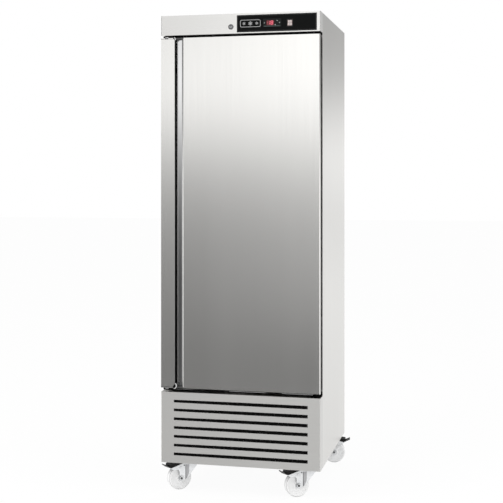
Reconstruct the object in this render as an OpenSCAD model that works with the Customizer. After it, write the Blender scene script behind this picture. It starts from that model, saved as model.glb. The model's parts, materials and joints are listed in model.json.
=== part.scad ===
// Upright freezer cabinet on castors: one full-height door with a folded grip, a header with the
// controls, a slotted grille over the machine compartment and four braked swivel castors.
// Millimetres, +Z up. The origin is on the floor under the middle of the cabinet, the front faces -Y.

/* [Cabinet] */
// Width of the cabinet
body_w = 680; // [640:1:740]
// Depth from the door's front face to the back panel
body_d = 700; // [660:1:780]
// Height of the cabinet without its castors
body_h = 1882; // [1760:1:1960]
// Depth of the door, header and grille zone in front of the carcass
front_zone = 60; // [58:1:66]
// Thickness of the insulated walls
wall_t = 60; // [52:1:68]
// Thickness of the outer steel sheet
sheet_t = 1.2; // [0.8:0.1:1.6]
// Thickness of the cabin liner sheet
liner_t = 1; // [0.6:0.1:1.4]
// Width of the front return flange of each side panel
side_flange_w = 30; // [26:1:34]
// Thickness of the thermal break frame round the cabin opening
breaker_t = 4; // [3:0.5:6]

/* [Front] */
// Height of the grille panel
grille_h = 298; // [290:1:320]
// Gap between the grille panel and the door
lower_gap = 17.5; // [15:0.5:22]
// Gap between the door and the header
upper_gap = 11; // [9:0.5:14]
// Height of the header panel
header_h = 83; // [80:1:96]
// Number of slots in the grille panel
slot_count = 7; // [4:1:7]
// Length of a grille slot
slot_w = 568; // [480:1:590]
// Height of a grille slot
slot_h = 11; // [6:0.5:14]
// Distance from one grille slot to the next
slot_pitch = 37; // [30:0.5:38]
// Height of the lowest slot above the panel's lower edge
slot_low = 38; // [30:0.5:48]
// Outer radius of the folded edges of the header and the grille panel
bend_r = 3; // [2:0.5:5]

/* [Door] */
// Width of the flat strip that the hand closes on
strip_w = 59; // [50:1:66]
// Width of the open groove beside the strip
groove_w = 34.5; // [30:0.5:40]
// Depth of the groove
groove_d = 25; // [20:0.5:26]
// Thickness of the grip profile
grip_t = 1.5; // [1:0.1:2]
// Radius of the rounded edge between the groove and the door panel
edge_r = 5; // [3:0.5:7]
// Thickness of each end cap of the grip
cap_t = 4; // [3:0.5:6]
// How far the end caps stand proud of the door
cap_proud = 3.5; // [3.5:0.1:5]
// Depth of the steel door pan
pan_d = 32; // [30:0.5:34]
// Thickness of the black frame behind the pan
frame_t = 16; // [14:0.5:16]
// Width of the black frame
frame_w = 44; // [40:1:48]
// Distance of the hinge axis from the cabinet's right side
hinge_x_inset = 18; // [17:0.5:22]
// Distance of the hinge axis behind the door's front face
hinge_y_inset = 22; // [20:0.5:24]
// Radius of the hinge pins
pin_r = 6; // [5:0.5:7]
// Width of the magnetic gasket
gasket_w = 24; // [20:1:26]

/* [Controls] */
// Width of the black fascia
fascia_w = 336; // [320:1:350]
// Height of the black fascia
fascia_h = 71; // [64:1:74]
// Distance from the fascia to the header's right end
fascia_right = 14.5; // [10:0.5:20]
// Distance from the header's lower edge to the fascia
fascia_low = 4.5; // [3:0.5:6]
// Width of the controller
controller_w = 77; // [74:1:84]
// Height of the controller
controller_h = 34; // [32:0.5:38]
// Distance from the controller's left end to the fascia's left end
controller_left = 111; // [100:1:116]
// Width of the rocker of the power switch
rocker_w = 19.4; // [17:0.2:21]
// Radius of the rocker from its pivot to its ends
rocker_r = 13; // [12.5:0.1:13.5]
// Distance from the lock to the fascia's left end
lock_left = 26; // [22:1:34]
// Height of the lock above the header's lower edge
lock_up = 28.6; // [26:0.1:32]
// Radius of the lock's turning barrel
lock_r = 6; // [5:0.5:6.5]

/* [Cabin] */
// Number of wire shelves
shelf_count = 4; // [2:1:5]
// Height of the lowest shelf above the cabin floor
shelf_low = 75; // [60:5:100]
// Distance from one shelf to the next
shelf_pitch = 280; // [200:5:285]
// Depth of a shelf
shelf_d = 500; // [440:5:505]
// Height of the evaporator unit under the ceiling
evaporator_h = 130; // [120:1:140]

/* [Castors] */
// Height of a castor from the floor to the cabinet
castor_h = 128; // [127:0.5:132]
// Diameter of a wheel
wheel_d = 100; // [90:1:100]
// Width of a wheel
wheel_w = 32; // [26:1:34]
// Distance from the swivel axis to the axle
trail = 34; // [30:1:36]
// Radius of an axle bolt
axle_r = 6; // [5:0.5:7]
// Radius of a swivel pin
kingpin_r = 6; // [5:0.5:7]
// Distance from the front swivel axes to the cabinet's sides
castor_side = 84; // [80:1:100]
// Distance from the rear swivel axes to the cabinet's sides
castor_rear_side = 76; // [72:1:100]
// Distance from the front swivel axes to the door's front face
castor_front = 94; // [76:1:100]
// Distance from the rear swivel axes to the back panel
castor_rear = 50; // [50:1:80]

/* [Hidden] */

// Running clearance of a pin in its bore, and the gap between parts that pass each other
fit = 0.05;
gap = 0.3;

// How far two joined shapes of one piece run into each other
lap = 1;

// Outer faces of the cabinet
hw = body_w / 2;
front_y = cap_proud - (body_d + cap_proud) / 2;
back_y = front_y + body_d;
carcass_y = front_y + front_zone;
z0 = castor_h;
z1 = z0 + body_h;

// Levels of the grille panel, the door and the header
grille_z1 = z0 + grille_h;
door_z0 = grille_z1 + lower_gap;
header_z0 = z1 - header_h;
door_z1 = header_z0 - upper_gap;

// The cabin: its clear width, depth and height, and the foam round it
seal_w = 45;
cabin_hw = hw - wall_t;
cabin_back = back_y - wall_t;
cabin_z0 = door_z0 + seal_w;
cabin_z1 = door_z1 - seal_w;
foam_z0 = cabin_z0 - wall_t;
foam_z1 = cabin_z1 + wall_t;
foam_y0 = carcass_y + breaker_t;
foam_y1 = back_y - sheet_t;

// Chases in the back foam for the pipes and the drain
chase_w = 22;
chase_x = cabin_hw - 45;
chase_y = foam_y1 - chase_w / 2;

// Door: planes from front to back, and the grip's edges
pan_y = front_y + pan_d;
frame_y = pan_y + frame_t;
strip_x = -hw + strip_w;
groove_x = strip_x + groove_w;
panel_x = groove_x + edge_r;
floor_y = front_y + groove_d;
hinge_x = hw - hinge_x_inset;
hinge_y = front_y + hinge_y_inset;
frame_inset = 4;
frame_hw = hw - frame_inset;
frame_z0 = door_z0 + frame_inset;
frame_z1 = door_z1 - frame_inset;
gasket_hw = hinge_x - 1;
gasket_z0 = door_z0 + hw - gasket_hw;
gasket_z1 = door_z1 - (hw - gasket_hw);
plug_side = 18;
plug_hw = cabin_hw - plug_side;
plug_depth = 14;
bush_l = 18;
bush_wall = 3;
pin_in = 14;

// Header: fascia, controller, switch and lock
fascia_x1 = hw - fascia_right;
fascia_x0 = fascia_x1 - fascia_w;
fascia_z0 = header_z0 + fascia_low;
fascia_z1 = fascia_z0 + fascia_h;
fascia_t = 1.5;
controller_x0 = fascia_x0 + controller_left;
controller_x1 = controller_x0 + controller_w;
controller_z = fascia_z0 + fascia_h / 2;
controller_y = front_y - fascia_t - 0.8;
lens_x = [14, 48];
lens_h = 21;
lens_t = 1.5;

// Keys: size, travel clearance, and their places on the controller: left, up, right, down
key_w = 6.8;
key_h = 5.2;
key_d = 2.2;
key_places = [[6, 0], [60, 8.5], [70, 0], [52, -9]];
key_y = controller_y - gap;

// Switch and lock
switch_x = controller_x1 + 36;
switch_z = controller_z - 3;
rocker_pivot = 5;
rocker_tilt = 7;
rocker_lip = 2;
lock_x = fascia_x0 - lock_left;
lock_z = header_z0 + lock_up;
lock_wall = 2.5;
lock_len = 22;
cam_w = 12;
cam_t = 3;
cam_len = lock_up + upper_gap + 10;
cam_y = front_y + lock_len + 0.5;

// Cabin fittings
pilaster_w = 20;
pilaster_d = 10;
pilaster_front = 32;
pilaster_t = 1.5;
slide_t = 1.5;
slide_w = 18;
slide_h = 20;
shelf_wires = 15;
rod_r = 3.5;
wire_r = 2;
shelf_hw = cabin_hw - pilaster_d - slide_t - 2;
shelf_y0 = foam_y0 + pilaster_front - 4;
pilaster_back = shelf_y0 + shelf_d - pilaster_w + 4;
function shelf_z(i) = cabin_z0 + shelf_low + i * shelf_pitch;

// Evaporator unit under the ceiling
evap_hw = cabin_hw - 16;
evap_z0 = cabin_z1 - evaporator_h;
evap_y0 = foam_y0 + 70;
fan_hole_r = 78;
evap_fan_r = 72;
evap_fan_y = evap_y0 + 100;
coil_hw = evap_hw - 34;
coil_y0 = evap_y0 + 205;
coil_y1 = cabin_back - 70;
coil_fin_pitch = 14;
tray_h = 20;
tray_side = 24;
tray_y0 = coil_y0 - 8;
tray_y1 = coil_y1 + 8;
drain_r = 8;
drain_z = evap_z0 + sheet_t + drain_r + 2;
shaft_r = 3;
evap_hub_r = 18;
evap_fan_d = 20;
fan_blades = 5;
rear_flange_w = 30;

// Machine compartment
base_t = 2;
tray_lip = 18;
floor_z = z0 + base_t;
condenser_side = 105;
condenser_hw = 165;
condenser_x = condenser_side + condenser_hw - hw;
condenser_fin_pitch = 8.4;
condenser_y0 = carcass_y + 8;
condenser_d = 44;
condenser_h = 262;
shroud_y = condenser_y0 + condenser_d;
cond_fan_r = 100;
cond_hub_r = 24;
cond_fan_d = 26;
cond_fan_z = floor_z + condenser_h / 2;
compressor_side = 190;
compressor_x = hw - compressor_side;
compressor_y = 160;
compressor_r = 78;
shell_h = 182;
shell_side_h = 120;
seam_h = 58;
seam_w = 6;
mount_x = 90;
mount_y = 62;
foot_h = 15;
pipe_r = 4;
pipe_z = evap_z0 + 70;
line_h = 238;
gland_side = 70;
gland_x = gland_side - hw;
gland_z = z0 + 60;
gland_r = 8;
louvre_side = 210;
louvre_x = hw - louvre_side;
louvre_w = 180;
louvre_low = 50;

// Electrical box on top of the foam: its distance from the cabinet's side and its size
box_side = 120;
box_w = 200;
box_d = 130;
box_h = 55;

// Castors: name, side, swivel axis from front to back, and the direction in which the wheel trails
castor_y0 = front_y + castor_front;
castor_y1 = back_y - castor_rear;
castor_x = hw - castor_side;
castor_rear_x = hw - castor_rear_side;
castors = [
    ["front_left", -castor_x, castor_y0, 220],
    ["front_right", castor_x, castor_y0, 212],
    ["rear_left", -castor_rear_x, castor_y1, 172],
    ["rear_right", castor_rear_x, castor_y1, 8]
];
plate_t = 3;
plate_l = 100;
plate_w = 84;
bolt_x = 38;
bolt_y = 31;
bolt_r = 7;
bolt_h = 4;
head_r = 22;
crown_t = 4;
crown_z = castor_h - 21;
crown_top = crown_z + crown_t;

// Fork: the strip down to the axle, the horn over the wheel and the recessed wing behind the crease
axle_z = wheel_d / 2;
leg_t = 3;
leg_y = wheel_w / 2 + 3;
wing_y = leg_y - 2.2;
wing_x = -50;
crease_x = trail - 19.5;
strip_front = trail + 8;
foot_r = 12.5;
fillet_r = 12;
horn_root = trail - 7;
horn_x = trail + 47;
horn_z = crown_top - 24;
horn_tip = horn_z + 9;
cover_x = trail + 10;
function horn_line(u) = crown_top - (u - horn_root) * (crown_top - horn_tip) / (horn_x - horn_root);

// Brake pedal: its pin, its root between the cheeks and the reach of its tab
pedal_x = trail - 14;
pedal_z = crown_z - 4.5;
pedal_pin_r = 2;
eye_r = 3.7;
root_y = wing_y - 0.6;
pedal_hw = 21;
pedal_lift = 0.8;
pedal_reach = 107;
tab_hw = 15;

// Box from its ranges along x, y and z
module block(x, y, z) {
    translate([x[0], y[0], z[0]]) cube([x[1] - x[0], y[1] - y[0], z[1] - z[0]]);
}

// Rods along an axis, from a range along it and a centre across it
module rod_x(x, y, z, r, n = 48) {
    translate([x[0], y, z]) rotate([0, 90, 0]) rotate([0, 0, n <= 12 ? 180 / n : 0])
        cylinder(r = r, h = x[1] - x[0], $fn = n);
}
module rod_y(x, y, z, r, n = 48) {
    translate([x, y[0], z]) rotate([-90, 0, 0]) rotate([0, 0, n <= 12 ? 180 / n : 0])
        cylinder(r = r, h = y[1] - y[0], $fn = n);
}
module rod_z(x, y, z, r, n = 48) {
    translate([x, y, z[0]]) cylinder(r = r, h = z[1] - z[0], $fn = n);
}

// Outline drawn in the XZ plane and extruded along y
module slab_y(y, t) {
    translate([0, y + t, 0]) rotate([90, 0, 0]) linear_extrude(t) children();
}

// Rectangular ring standing in the XZ plane: half width, levels, width of the ring, range along y
module ring(half_w, z, w, y) {
    difference() {
        block([-half_w, half_w], y, z);
        block([-half_w + w, half_w - w], [y[0] - 1, y[1] + 1], [z[0] + w, z[1] - w]);
    }
}

// Copies at the castors, each turned the way it trails
module at_castor(c) {
    translate([c[1], c[2], 0]) rotate([0, 0, c[3]]) children();
}

// Side panel with a return flange round the front edge
module side_panel(side) {
    color("silver") mirror([side < 0 ? 1 : 0, 0, 0]) {
        block([hw - sheet_t, hw], [carcass_y, back_y], [z0, z1]);
        block([hw - side_flange_w, hw], [carcass_y, carcass_y + sheet_t], [z0, z1 - sheet_t]);
    }
}

module top_panel() {
    color("silver") {
        block([-hw + sheet_t, hw - sheet_t], [carcass_y, foam_y1], [z1 - sheet_t, z1]);
        block([-hw + sheet_t, hw - sheet_t], [foam_y1 - sheet_t, foam_y1], [z1 - rear_flange_w, z1]);
    }
}

// Back panel with two columns of louvre slots over the machine compartment
module back_panel() {
    louvre_h = 8;
    louvre_pitch = 24;
    color("lightgray") difference() {
        block([-hw + sheet_t, hw - sheet_t], [back_y - sheet_t, back_y], [z0, z1]);
        for (x = [-louvre_x, louvre_x], i = [0:8])
            block([x - louvre_w / 2, x + louvre_w / 2], [foam_y1 - 1, back_y + 1],
                  [z0 + louvre_low + i * louvre_pitch, z0 + louvre_low + i * louvre_pitch + louvre_h]);
        rod_y(gland_x, [foam_y1 - 1, back_y + 1], gland_z, gland_r);
    }
}

// Folded base tray that carries the castors and the machinery
module base_plate() {
    inner = hw - sheet_t;
    y0 = carcass_y + sheet_t;
    color("gray") {
        block([-inner, inner], [y0, foam_y1], [z0, floor_z]);
        block([-inner, inner], [y0, y0 + base_t], [z0, floor_z + tray_lip]);
        block([-inner, inner], [foam_y1 - base_t, foam_y1], [z0, floor_z + tray_lip]);
    }
}

// Foam of the cabinet, open at the front, with the chases for the pipes and the drain
module cabinet_insulation() {
    inner = cabin_hw + liner_t;
    outer = hw - sheet_t;
    color("khaki") difference() {
        block([-outer, outer], [foam_y0, foam_y1], [foam_z0, foam_z1]);
        block([-inner, inner], [foam_y0 - 1, cabin_back + liner_t], [cabin_z0 - liner_t, cabin_z1 + liner_t]);
        back_chase(chase_x, pipe_z);
        back_chase(-chase_x, drain_z);
    }
}

// Chase up the back foam, with its way into the cabin at the given height
module back_chase(x, z) {
    block([x - chase_w / 2, x + chase_w / 2], [foam_y1 - chase_w, foam_y1 + 1],
          [foam_z0 - 1, z + chase_w / 2]);
    block([x - chase_w / 2, x + chase_w / 2], [cabin_back - 1, foam_y1 + 1],
          [z - chase_w / 2, z + chase_w / 2]);
}

module cabin_liner() {
    color("whitesmoke") difference() {
        block([-cabin_hw - liner_t, cabin_hw + liner_t], [foam_y0, cabin_back + liner_t],
              [cabin_z0 - liner_t, cabin_z1 + liner_t]);
        block([-cabin_hw, cabin_hw], [foam_y0 - 1, cabin_back], [cabin_z0, cabin_z1]);
        rod_y(chase_x, [cabin_back - 1, cabin_back + liner_t + 1], pipe_z, pipe_r + 1);
        rod_y(-chase_x, [cabin_back - 1, cabin_back + liner_t + 1], drain_z, drain_r + 1);
    }
}

// Black thermal break frame round the cabin opening, which the gasket closes on
module breaker_frame() {
    outer = hw - side_flange_w;
    color("black") difference() {
        block([-outer, outer], [carcass_y, foam_y0], [foam_z0, foam_z1]);
        block([-cabin_hw, cabin_hw], [carcass_y - 1, foam_y0 + 1], [cabin_z0, cabin_z1]);
    }
}

// Plan of a front panel with its two sides folded back, drawn in by an inset
module panel_plan(inset) {
    translate([-hw + bend_r, front_y + inset]) square([2 * (hw - bend_r), front_zone - inset]);
    translate([-hw + inset, front_y + bend_r]) square([2 * (hw - inset), front_zone - bend_r]);
    for (x = [-hw + bend_r, hw - bend_r])
        translate([x, front_y + bend_r]) circle(r = bend_r - inset, $fn = 48);
}

// Sheet panel between two levels, folded back on all four sides and open at the rear
module folded_panel(z) {
    difference() {
        translate([0, 0, z[0]]) linear_extrude(z[1] - z[0]) panel_plan(0);
        translate([0, 0, z[0] + sheet_t]) linear_extrude(z[1] - z[0] - 2 * sheet_t) {
            panel_plan(sheet_t);
            translate([-hw + sheet_t, carcass_y - lap]) square([2 * (hw - sheet_t), 2 * lap]);
        }
    }
}

// Header with the cut-outs for the controller, the switch, the lock and its cam
module header_panel() {
    color("silver") difference() {
        folded_panel([header_z0, z1]);
        controller_body([front_y - 1, front_y + sheet_t + 1], gap);
        switch_well([front_y - 1, front_y + sheet_t + 1], 3.4, gap);
        rod_y(lock_x, [front_y - 1, front_y + sheet_t + 1], lock_z, lock_r + lock_wall);
        block([lock_x - cam_w / 2 - 3, lock_x + cam_len + 1], [cam_y - 2.5, cam_y + cam_t + 2.5],
              [header_z0 - 1, header_z0 + sheet_t + 1]);
    }
}

// Envelope of the controller, grown all round by a margin
module controller_body(y, margin = 0) {
    block([controller_x0 - margin, controller_x1 + margin], y,
          [controller_z - controller_h / 2 - margin, controller_z + controller_h / 2 + margin]);
}

// Envelope of the switch well, grown by its wall and a margin
module switch_well(y, wall, margin = 0) {
    w = rocker_w / 2 + gap + wall + margin;
    h = rocker_r + 0.4 + wall + margin;
    block([switch_x - w, switch_x + w], y, [switch_z - h, switch_z + h]);
}

// Glossy black fascia with the well of the rocker switch moulded behind it
module control_fascia() {
    well_d = 20;
    pivot_y = front_y + rocker_pivot;
    color("black") difference() {
        union() {
            block([fascia_x0, fascia_x1], [front_y - fascia_t, front_y], [fascia_z0, fascia_z1]);
            switch_well([front_y, front_y + well_d], 3.4);
        }
        controller_body([front_y - fascia_t - 1, front_y + 1]);
        switch_well([front_y - fascia_t - 1, front_y + well_d - 2], 0);
        rod_x([switch_x - rocker_w, switch_x + rocker_w], pivot_y, switch_z, 1.5 + fit, 24);
    }
}

// Rocker with a shallow hollow in its face and two pivot stubs
module power_switch() {
    stub = rocker_w / 2 + gap + 2;
    color("mistyrose") translate([switch_x, front_y + rocker_pivot, switch_z]) {
        rotate([-rocker_tilt, 0, 0]) intersection() {
            rod_x([-rocker_w / 2, rocker_w / 2], 0, 0, rocker_r);
            translate([-rocker_w / 2, 0, 0]) rotate([90, 0, 90]) linear_extrude(rocker_w)
                polygon([[-rocker_pivot, 0], [-rocker_pivot - rocker_lip, 11], [-rocker_pivot, 13.5],
                         [6, 13.5], [6, -13.5], [-rocker_pivot, -13.5],
                         [-rocker_pivot - rocker_lip, -11]]);
        }
        rod_x([-stub, stub], 0, 0, 1.5, 24);
    }
}

// One touch key in its place on the controller's face, grown by a margin
module key_at(i, y, margin) {
    x = controller_x0 + key_places[i][0];
    z = controller_z + key_places[i][1];
    block([x - key_w / 2 - margin, x + key_w / 2 + margin], y,
          [z - key_h / 2 - margin, z + key_h / 2 + margin]);
}

module key(i) {
    color("dimgray") key_at(i, [key_y, key_y + key_d], 0);
}

// Window over the digits
module display_lens() {
    color("darkred") block([controller_x0 + lens_x[0], controller_x0 + lens_x[1]],
        [controller_y, controller_y + lens_t], [controller_z - lens_h / 2, controller_z + lens_h / 2]);
}

module controller_module() {
    color("black") difference() {
        union() {
            controller_body([controller_y, front_y + 35]);
            for (z = [controller_z - 10, controller_z + 6])
                block([controller_x0 + 8, controller_x1 - 8], [front_y + 35, front_y + 40], [z, z + 5]);
        }
        for (i = [0:3]) key_at(i, [controller_y - 1, controller_y + key_d + 1], gap);
        block([controller_x0 + lens_x[0], controller_x0 + lens_x[1]],
              [controller_y - 1, controller_y + lens_t],
              [controller_z - lens_h / 2, controller_z + lens_h / 2]);
    }
}

// Fixed part of the lock: escutcheon ring, sleeve and nut
module lock_body() {
    sleeve = lock_r + lock_wall;
    color("silver") difference() {
        union() {
            rod_y(lock_x, [front_y - 2.5, front_y], lock_z, sleeve + 2.5);
            rod_y(lock_x, [front_y, front_y + lock_len], lock_z, sleeve);
            rod_y(lock_x, [front_y + sheet_t, front_y + sheet_t + 4], lock_z, sleeve + 4, 6);
        }
        rod_y(lock_x, [front_y - 4, front_y + lock_len + 1], lock_z, lock_r + fit);
    }
}

// Turning part of the lock: barrel with its keyway, and the cam that drops behind the door's edge
module lock_barrel() {
    color("gainsboro") {
        difference() {
            rod_y(lock_x, [front_y - 2, cam_y + cam_t + 2], lock_z, lock_r);
            block([lock_x - 0.8, lock_x + 0.8], [front_y - 3, front_y + 6], [lock_z - 4, lock_z + 4]);
        }
        difference() {
            block([lock_x - cam_w / 2, lock_x + cam_len], [cam_y, cam_y + cam_t],
                  [lock_z - cam_w / 2, lock_z + cam_w / 2]);
            rod_y(lock_x, [cam_y - 1, cam_y + cam_t + 1], lock_z, lock_r - 1);
        }
    }
}

// Slot with small corner radii, drawn about its centre
module slot_2d(w, h, r) {
    square([w - 2 * r, h], center = true);
    square([w, h - 2 * r], center = true);
    for (x = [-1, 1], y = [-1, 1])
        translate([x * (w / 2 - r), y * (h / 2 - r)]) circle(r = r, $fn = 24);
}

// Folded grille panel with its row of long slots
module grille_panel() {
    color("silver") difference() {
        folded_panel([z0, grille_z1]);
        for (i = [0:slot_count - 1])
            translate([0, front_y + sheet_t + 1, z0 + slot_low + i * slot_pitch])
                rotate([90, 0, 0]) linear_extrude(sheet_t + 2) slot_2d(slot_w, slot_h, 2);
    }
}

// Removable filter behind the grille: a frame round a pleated pad
module air_filter() {
    y0 = front_y + sheet_t;
    half = hw - 30;
    z = [z0 + 14, grille_z1 - 14];
    pleats = 31;
    pitch = (2 * half - 20) / pleats;
    color("dimgray") {
        ring(half, z, 10, [y0, y0 + 10]);
        translate([0, 0, z[0] + 5]) linear_extrude(z[1] - z[0] - 10)
            polygon(concat(
                [for (i = [0:2 * pleats]) [-half + 10 + i * pitch / 2, y0 + (i % 2 == 0 ? 2 : 6)]],
                [for (i = [2 * pleats:-1:0]) [-half + 10 + i * pitch / 2, y0 + (i % 2 == 0 ? 4 : 8)]]));
    }
}

// Hinge brackets over and under the door, each with its pin
module hinge_brackets() {
    plate = 3;
    x = [hinge_x - 22, hw - 2];
    color("slategray") {
        block(x, [hinge_y - 12, carcass_y], [header_z0 - plate, header_z0]);
        block(x, [carcass_y - plate, carcass_y], [door_z1 + 1, header_z0]);
        rod_z(hinge_x, hinge_y, [door_z1 - pin_in, header_z0], pin_r);
        block(x, [hinge_y - 12, carcass_y], [grille_z1, grille_z1 + plate]);
        block(x, [carcass_y - plate, carcass_y], [grille_z1, door_z0 - 1]);
        rod_z(hinge_x, hinge_y, [grille_z1, door_z0 - gap], pin_r + bush_wall);
        rod_z(hinge_x, hinge_y, [grille_z1, door_z0 + pin_in], pin_r);
    }
}

// Slotted strips that carry the shelf slides
module shelf_pilasters() {
    z = [cabin_z0 + 20, evap_z0 - 10];
    hole_pitch = 50;
    holes = floor((z[1] - z[0] - 30) / hole_pitch);
    color("gainsboro") for (side = [0, 1], y = [foam_y0 + pilaster_front, pilaster_back])
        mirror([side, 0, 0]) difference() {
            block([cabin_hw - pilaster_d, cabin_hw], [y, y + pilaster_w], z);
            block([cabin_hw - pilaster_d + pilaster_t, cabin_hw + 1],
                  [y + pilaster_t, y + pilaster_w - pilaster_t], [z[0] - 1, z[1] + 1]);
            for (i = [0:holes])
                block([cabin_hw - pilaster_d - 1, cabin_hw - pilaster_d + pilaster_t + 1],
                      [y + 7, y + 13], [z[0] + 15 + i * hole_pitch, z[0] + 27 + i * hole_pitch]);
        }
}

// Angle runners between the pilasters, one pair for each shelf
module shelf_slides() {
    x1 = cabin_hw - pilaster_d;
    y = [foam_y0 + pilaster_front, pilaster_back + pilaster_w];
    color("gainsboro") for (side = [0, 1], i = [0:shelf_count - 1]) mirror([side, 0, 0]) {
        block([x1 - slide_t, x1], y, [shelf_z(i) - slide_h, shelf_z(i)]);
        block([x1 - slide_w, x1], y, [shelf_z(i) - slide_t, shelf_z(i)]);
    }
}

// Wire shelf: a rectangle of rod with wires across it and a brace below
module wire_shelf() {
    lift = rod_r * cos(22.5);
    x = shelf_hw - rod_r;
    y = [shelf_y0 + rod_r, shelf_y0 + shelf_d - rod_r];
    wire_z = 2 * lift + wire_r * cos(30) - 0.4;
    pitch = 2 * x / (shelf_wires + 1);
    for (side = [-1, 1]) rod_y(side * x, [y[0] - rod_r, y[1] + rod_r], lift, rod_r, 8);
    for (row = y) rod_x([-x, x], row, lift, rod_r, 8);
    rod_x([-x, x], (y[0] + y[1]) / 2, lift, rod_r, 8);
    for (i = [1:shelf_wires]) rod_y(-x + i * pitch, [y[0] - 1, y[1] + 1], wire_z, wire_r, 6);
}

module wire_shelves() {
    color("white") for (i = [0:shelf_count - 1]) translate([0, 0, shelf_z(i)]) wire_shelf();
}

// Cover under the evaporator, with the fan's guard and the air outlets
module evaporator_cover() {
    y = [evap_y0, cabin_back];
    color("gainsboro") {
        difference() {
            block([-evap_hw, evap_hw], y, [evap_z0, cabin_z1]);
            block([-evap_hw + sheet_t, evap_hw - sheet_t], [y[0] + sheet_t, y[1] + 1],
                  [evap_z0 + sheet_t, cabin_z1 + 1]);
            rod_z(0, evap_fan_y, [evap_z0 - 1, evap_z0 + sheet_t + 1], fan_hole_r, 96);
            for (i = [0:2])
                block([-coil_hw, coil_hw], [tray_y1 + 8 + i * 18, tray_y1 + 18 + i * 18],
                      [evap_z0 - 1, evap_z0 + sheet_t + 1]);
        }
        for (r = [20:19:58]) difference() {
            rod_z(0, evap_fan_y, [evap_z0, evap_z0 + sheet_t], r + 2);
            rod_z(0, evap_fan_y, [evap_z0 - 1, evap_z0 + sheet_t + 1], r);
        }
        for (a = [0, 60, 120]) translate([0, evap_fan_y, evap_z0]) rotate([0, 0, a])
            block([-fan_hole_r - 2, fan_hole_r + 2], [-1, 1], [0, sheet_t]);
    }
}

// Finned block: a comb of plates on a solid core, with return bends at both ends
module finned_coil(half_w, y, z, fin_pitch) {
    core = (y[1] - y[0]) / 2;
    mid = (y[0] + y[1]) / 2;
    fins = round((2 * half_w - 2) / fin_pitch) + 1;
    pitch = (2 * half_w - 2) / (fins - 1);
    rows = floor((z[1] - z[0] - 10) / 50);
    translate([0, 0, z[0]]) linear_extrude(z[1] - z[0]) union() {
        translate([-half_w, mid - core / 2]) square([2 * half_w, core]);
        for (i = [0:fins - 1]) translate([-half_w + i * pitch, y[0]]) square([2, y[1] - y[0]]);
    }
    for (side = [-1, 1], i = [0:rows - 1])
        translate([side * (half_w - lap), mid, z[0] + 30 + i * 50]) rotate([90, 0, side * 90 - 90])
            rotate([0, 0, -90]) rotate_extrude(angle = 180, $fn = 32)
                translate([12, 0]) circle(r = pipe_r, $fn = 24);
}

module evaporator_coil() {
    color("lightsteelblue")
        finned_coil(coil_hw, [coil_y0, coil_y1], [evap_z0 + 2 * sheet_t, cabin_z1 - 8],
                    coil_fin_pitch);
}

// Tray under the evaporator, which catches the melt water
module drip_tray() {
    half = coil_hw + tray_side;
    z = evap_z0 + sheet_t;
    color("whitesmoke") difference() {
        block([-half, half], [tray_y0, tray_y1], [z, z + tray_h]);
        block([-half + sheet_t, half - sheet_t], [tray_y0 + sheet_t, tray_y1 - sheet_t],
              [z + sheet_t, z + tray_h + 1]);
    }
}

// Drain from the tray down the back foam to the condensate pan
module drain_tube() {
    end_z = floor_z + 30;
    color("white") difference() {
        union() {
            rod_y(-chase_x, [tray_y1, chase_y], drain_z, drain_r);
            translate([-chase_x, chase_y, drain_z]) sphere(r = drain_r, $fn = 48);
            rod_z(-chase_x, chase_y, [end_z, drain_z], drain_r);
        }
        rod_z(-chase_x, chase_y, [end_z - 1, drain_z], drain_r - 2);
    }
}

// Three pipes: hot gas to the condenser, and the line up the back to the evaporator
module refrigerant_lines() {
    r = pipe_r;
    low_z = floor_z + line_h;
    color("peru") {
        rod_y(chase_x, [coil_y1 - 2, chase_y], pipe_z, r, 32);
        translate([chase_x, chase_y, pipe_z]) sphere(r = r, $fn = 32);
        rod_z(chase_x, chase_y, [low_z, pipe_z], r, 32);
        translate([chase_x, chase_y, low_z]) sphere(r = r, $fn = 32);
        rod_y(chase_x, [compressor_y, chase_y], low_z, r, 32);
        translate([chase_x, compressor_y, low_z]) sphere(r = r, $fn = 32);
        rod_x([compressor_x, chase_x], compressor_y, low_z, r, 32);
    }
}

// Hermetic compressor on a foot plate with rubber mounts
module compressor() {
    r = compressor_r;
    base = floor_z + foot_h;
    dome = [for (a = [0:15:75]) [r * cos(a), shell_side_h + (shell_h - shell_side_h) * sin(a)]];
    color("dimgray") translate([compressor_x, compressor_y, 0]) {
        translate([0, 0, base + 3])
            rotate_extrude($fn = 64) polygon(concat([[0, 0], [r - 12, 0], [r, 14], [r, seam_h],
                [r + 3, seam_h], [r + 3, seam_h + seam_w], [r, seam_h + seam_w]], dome, [[0, shell_h]]));
        block([-mount_x, mount_x], [-mount_y, mount_y], [base, base + 3]);
        for (x = [12 - mount_x, mount_x - 12], y = [12 - mount_y, mount_y - 12])
            rod_z(x, y, [floor_z, base], 11);
        block([r - 6, r + 26], [-26, 26], [base + 70, base + 130]);
    }
}

module condenser_coil() {
    color("lightgray") translate([condenser_x, 0, 0])
        finned_coil(condenser_hw, [condenser_y0, shroud_y], [floor_z, floor_z + condenser_h],
                    condenser_fin_pitch);
}

// Plate behind the condenser, with the ring round its fan
module condenser_shroud() {
    half = condenser_hw;
    color("gray") difference() {
        union() {
            block([condenser_x - half, condenser_x + half], [shroud_y, shroud_y + 2],
                  [floor_z, floor_z + condenser_h]);
            rod_y(condenser_x, [shroud_y, shroud_y + 30], cond_fan_z, cond_fan_r + 8, 96);
            block([condenser_x - half, condenser_x + half], [shroud_y, shroud_y + 40],
                  [floor_z, floor_z + 2]);
        }
        rod_y(condenser_x, [shroud_y - 1, shroud_y + 31], cond_fan_z, cond_fan_r + 5, 96);
    }
}

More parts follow.
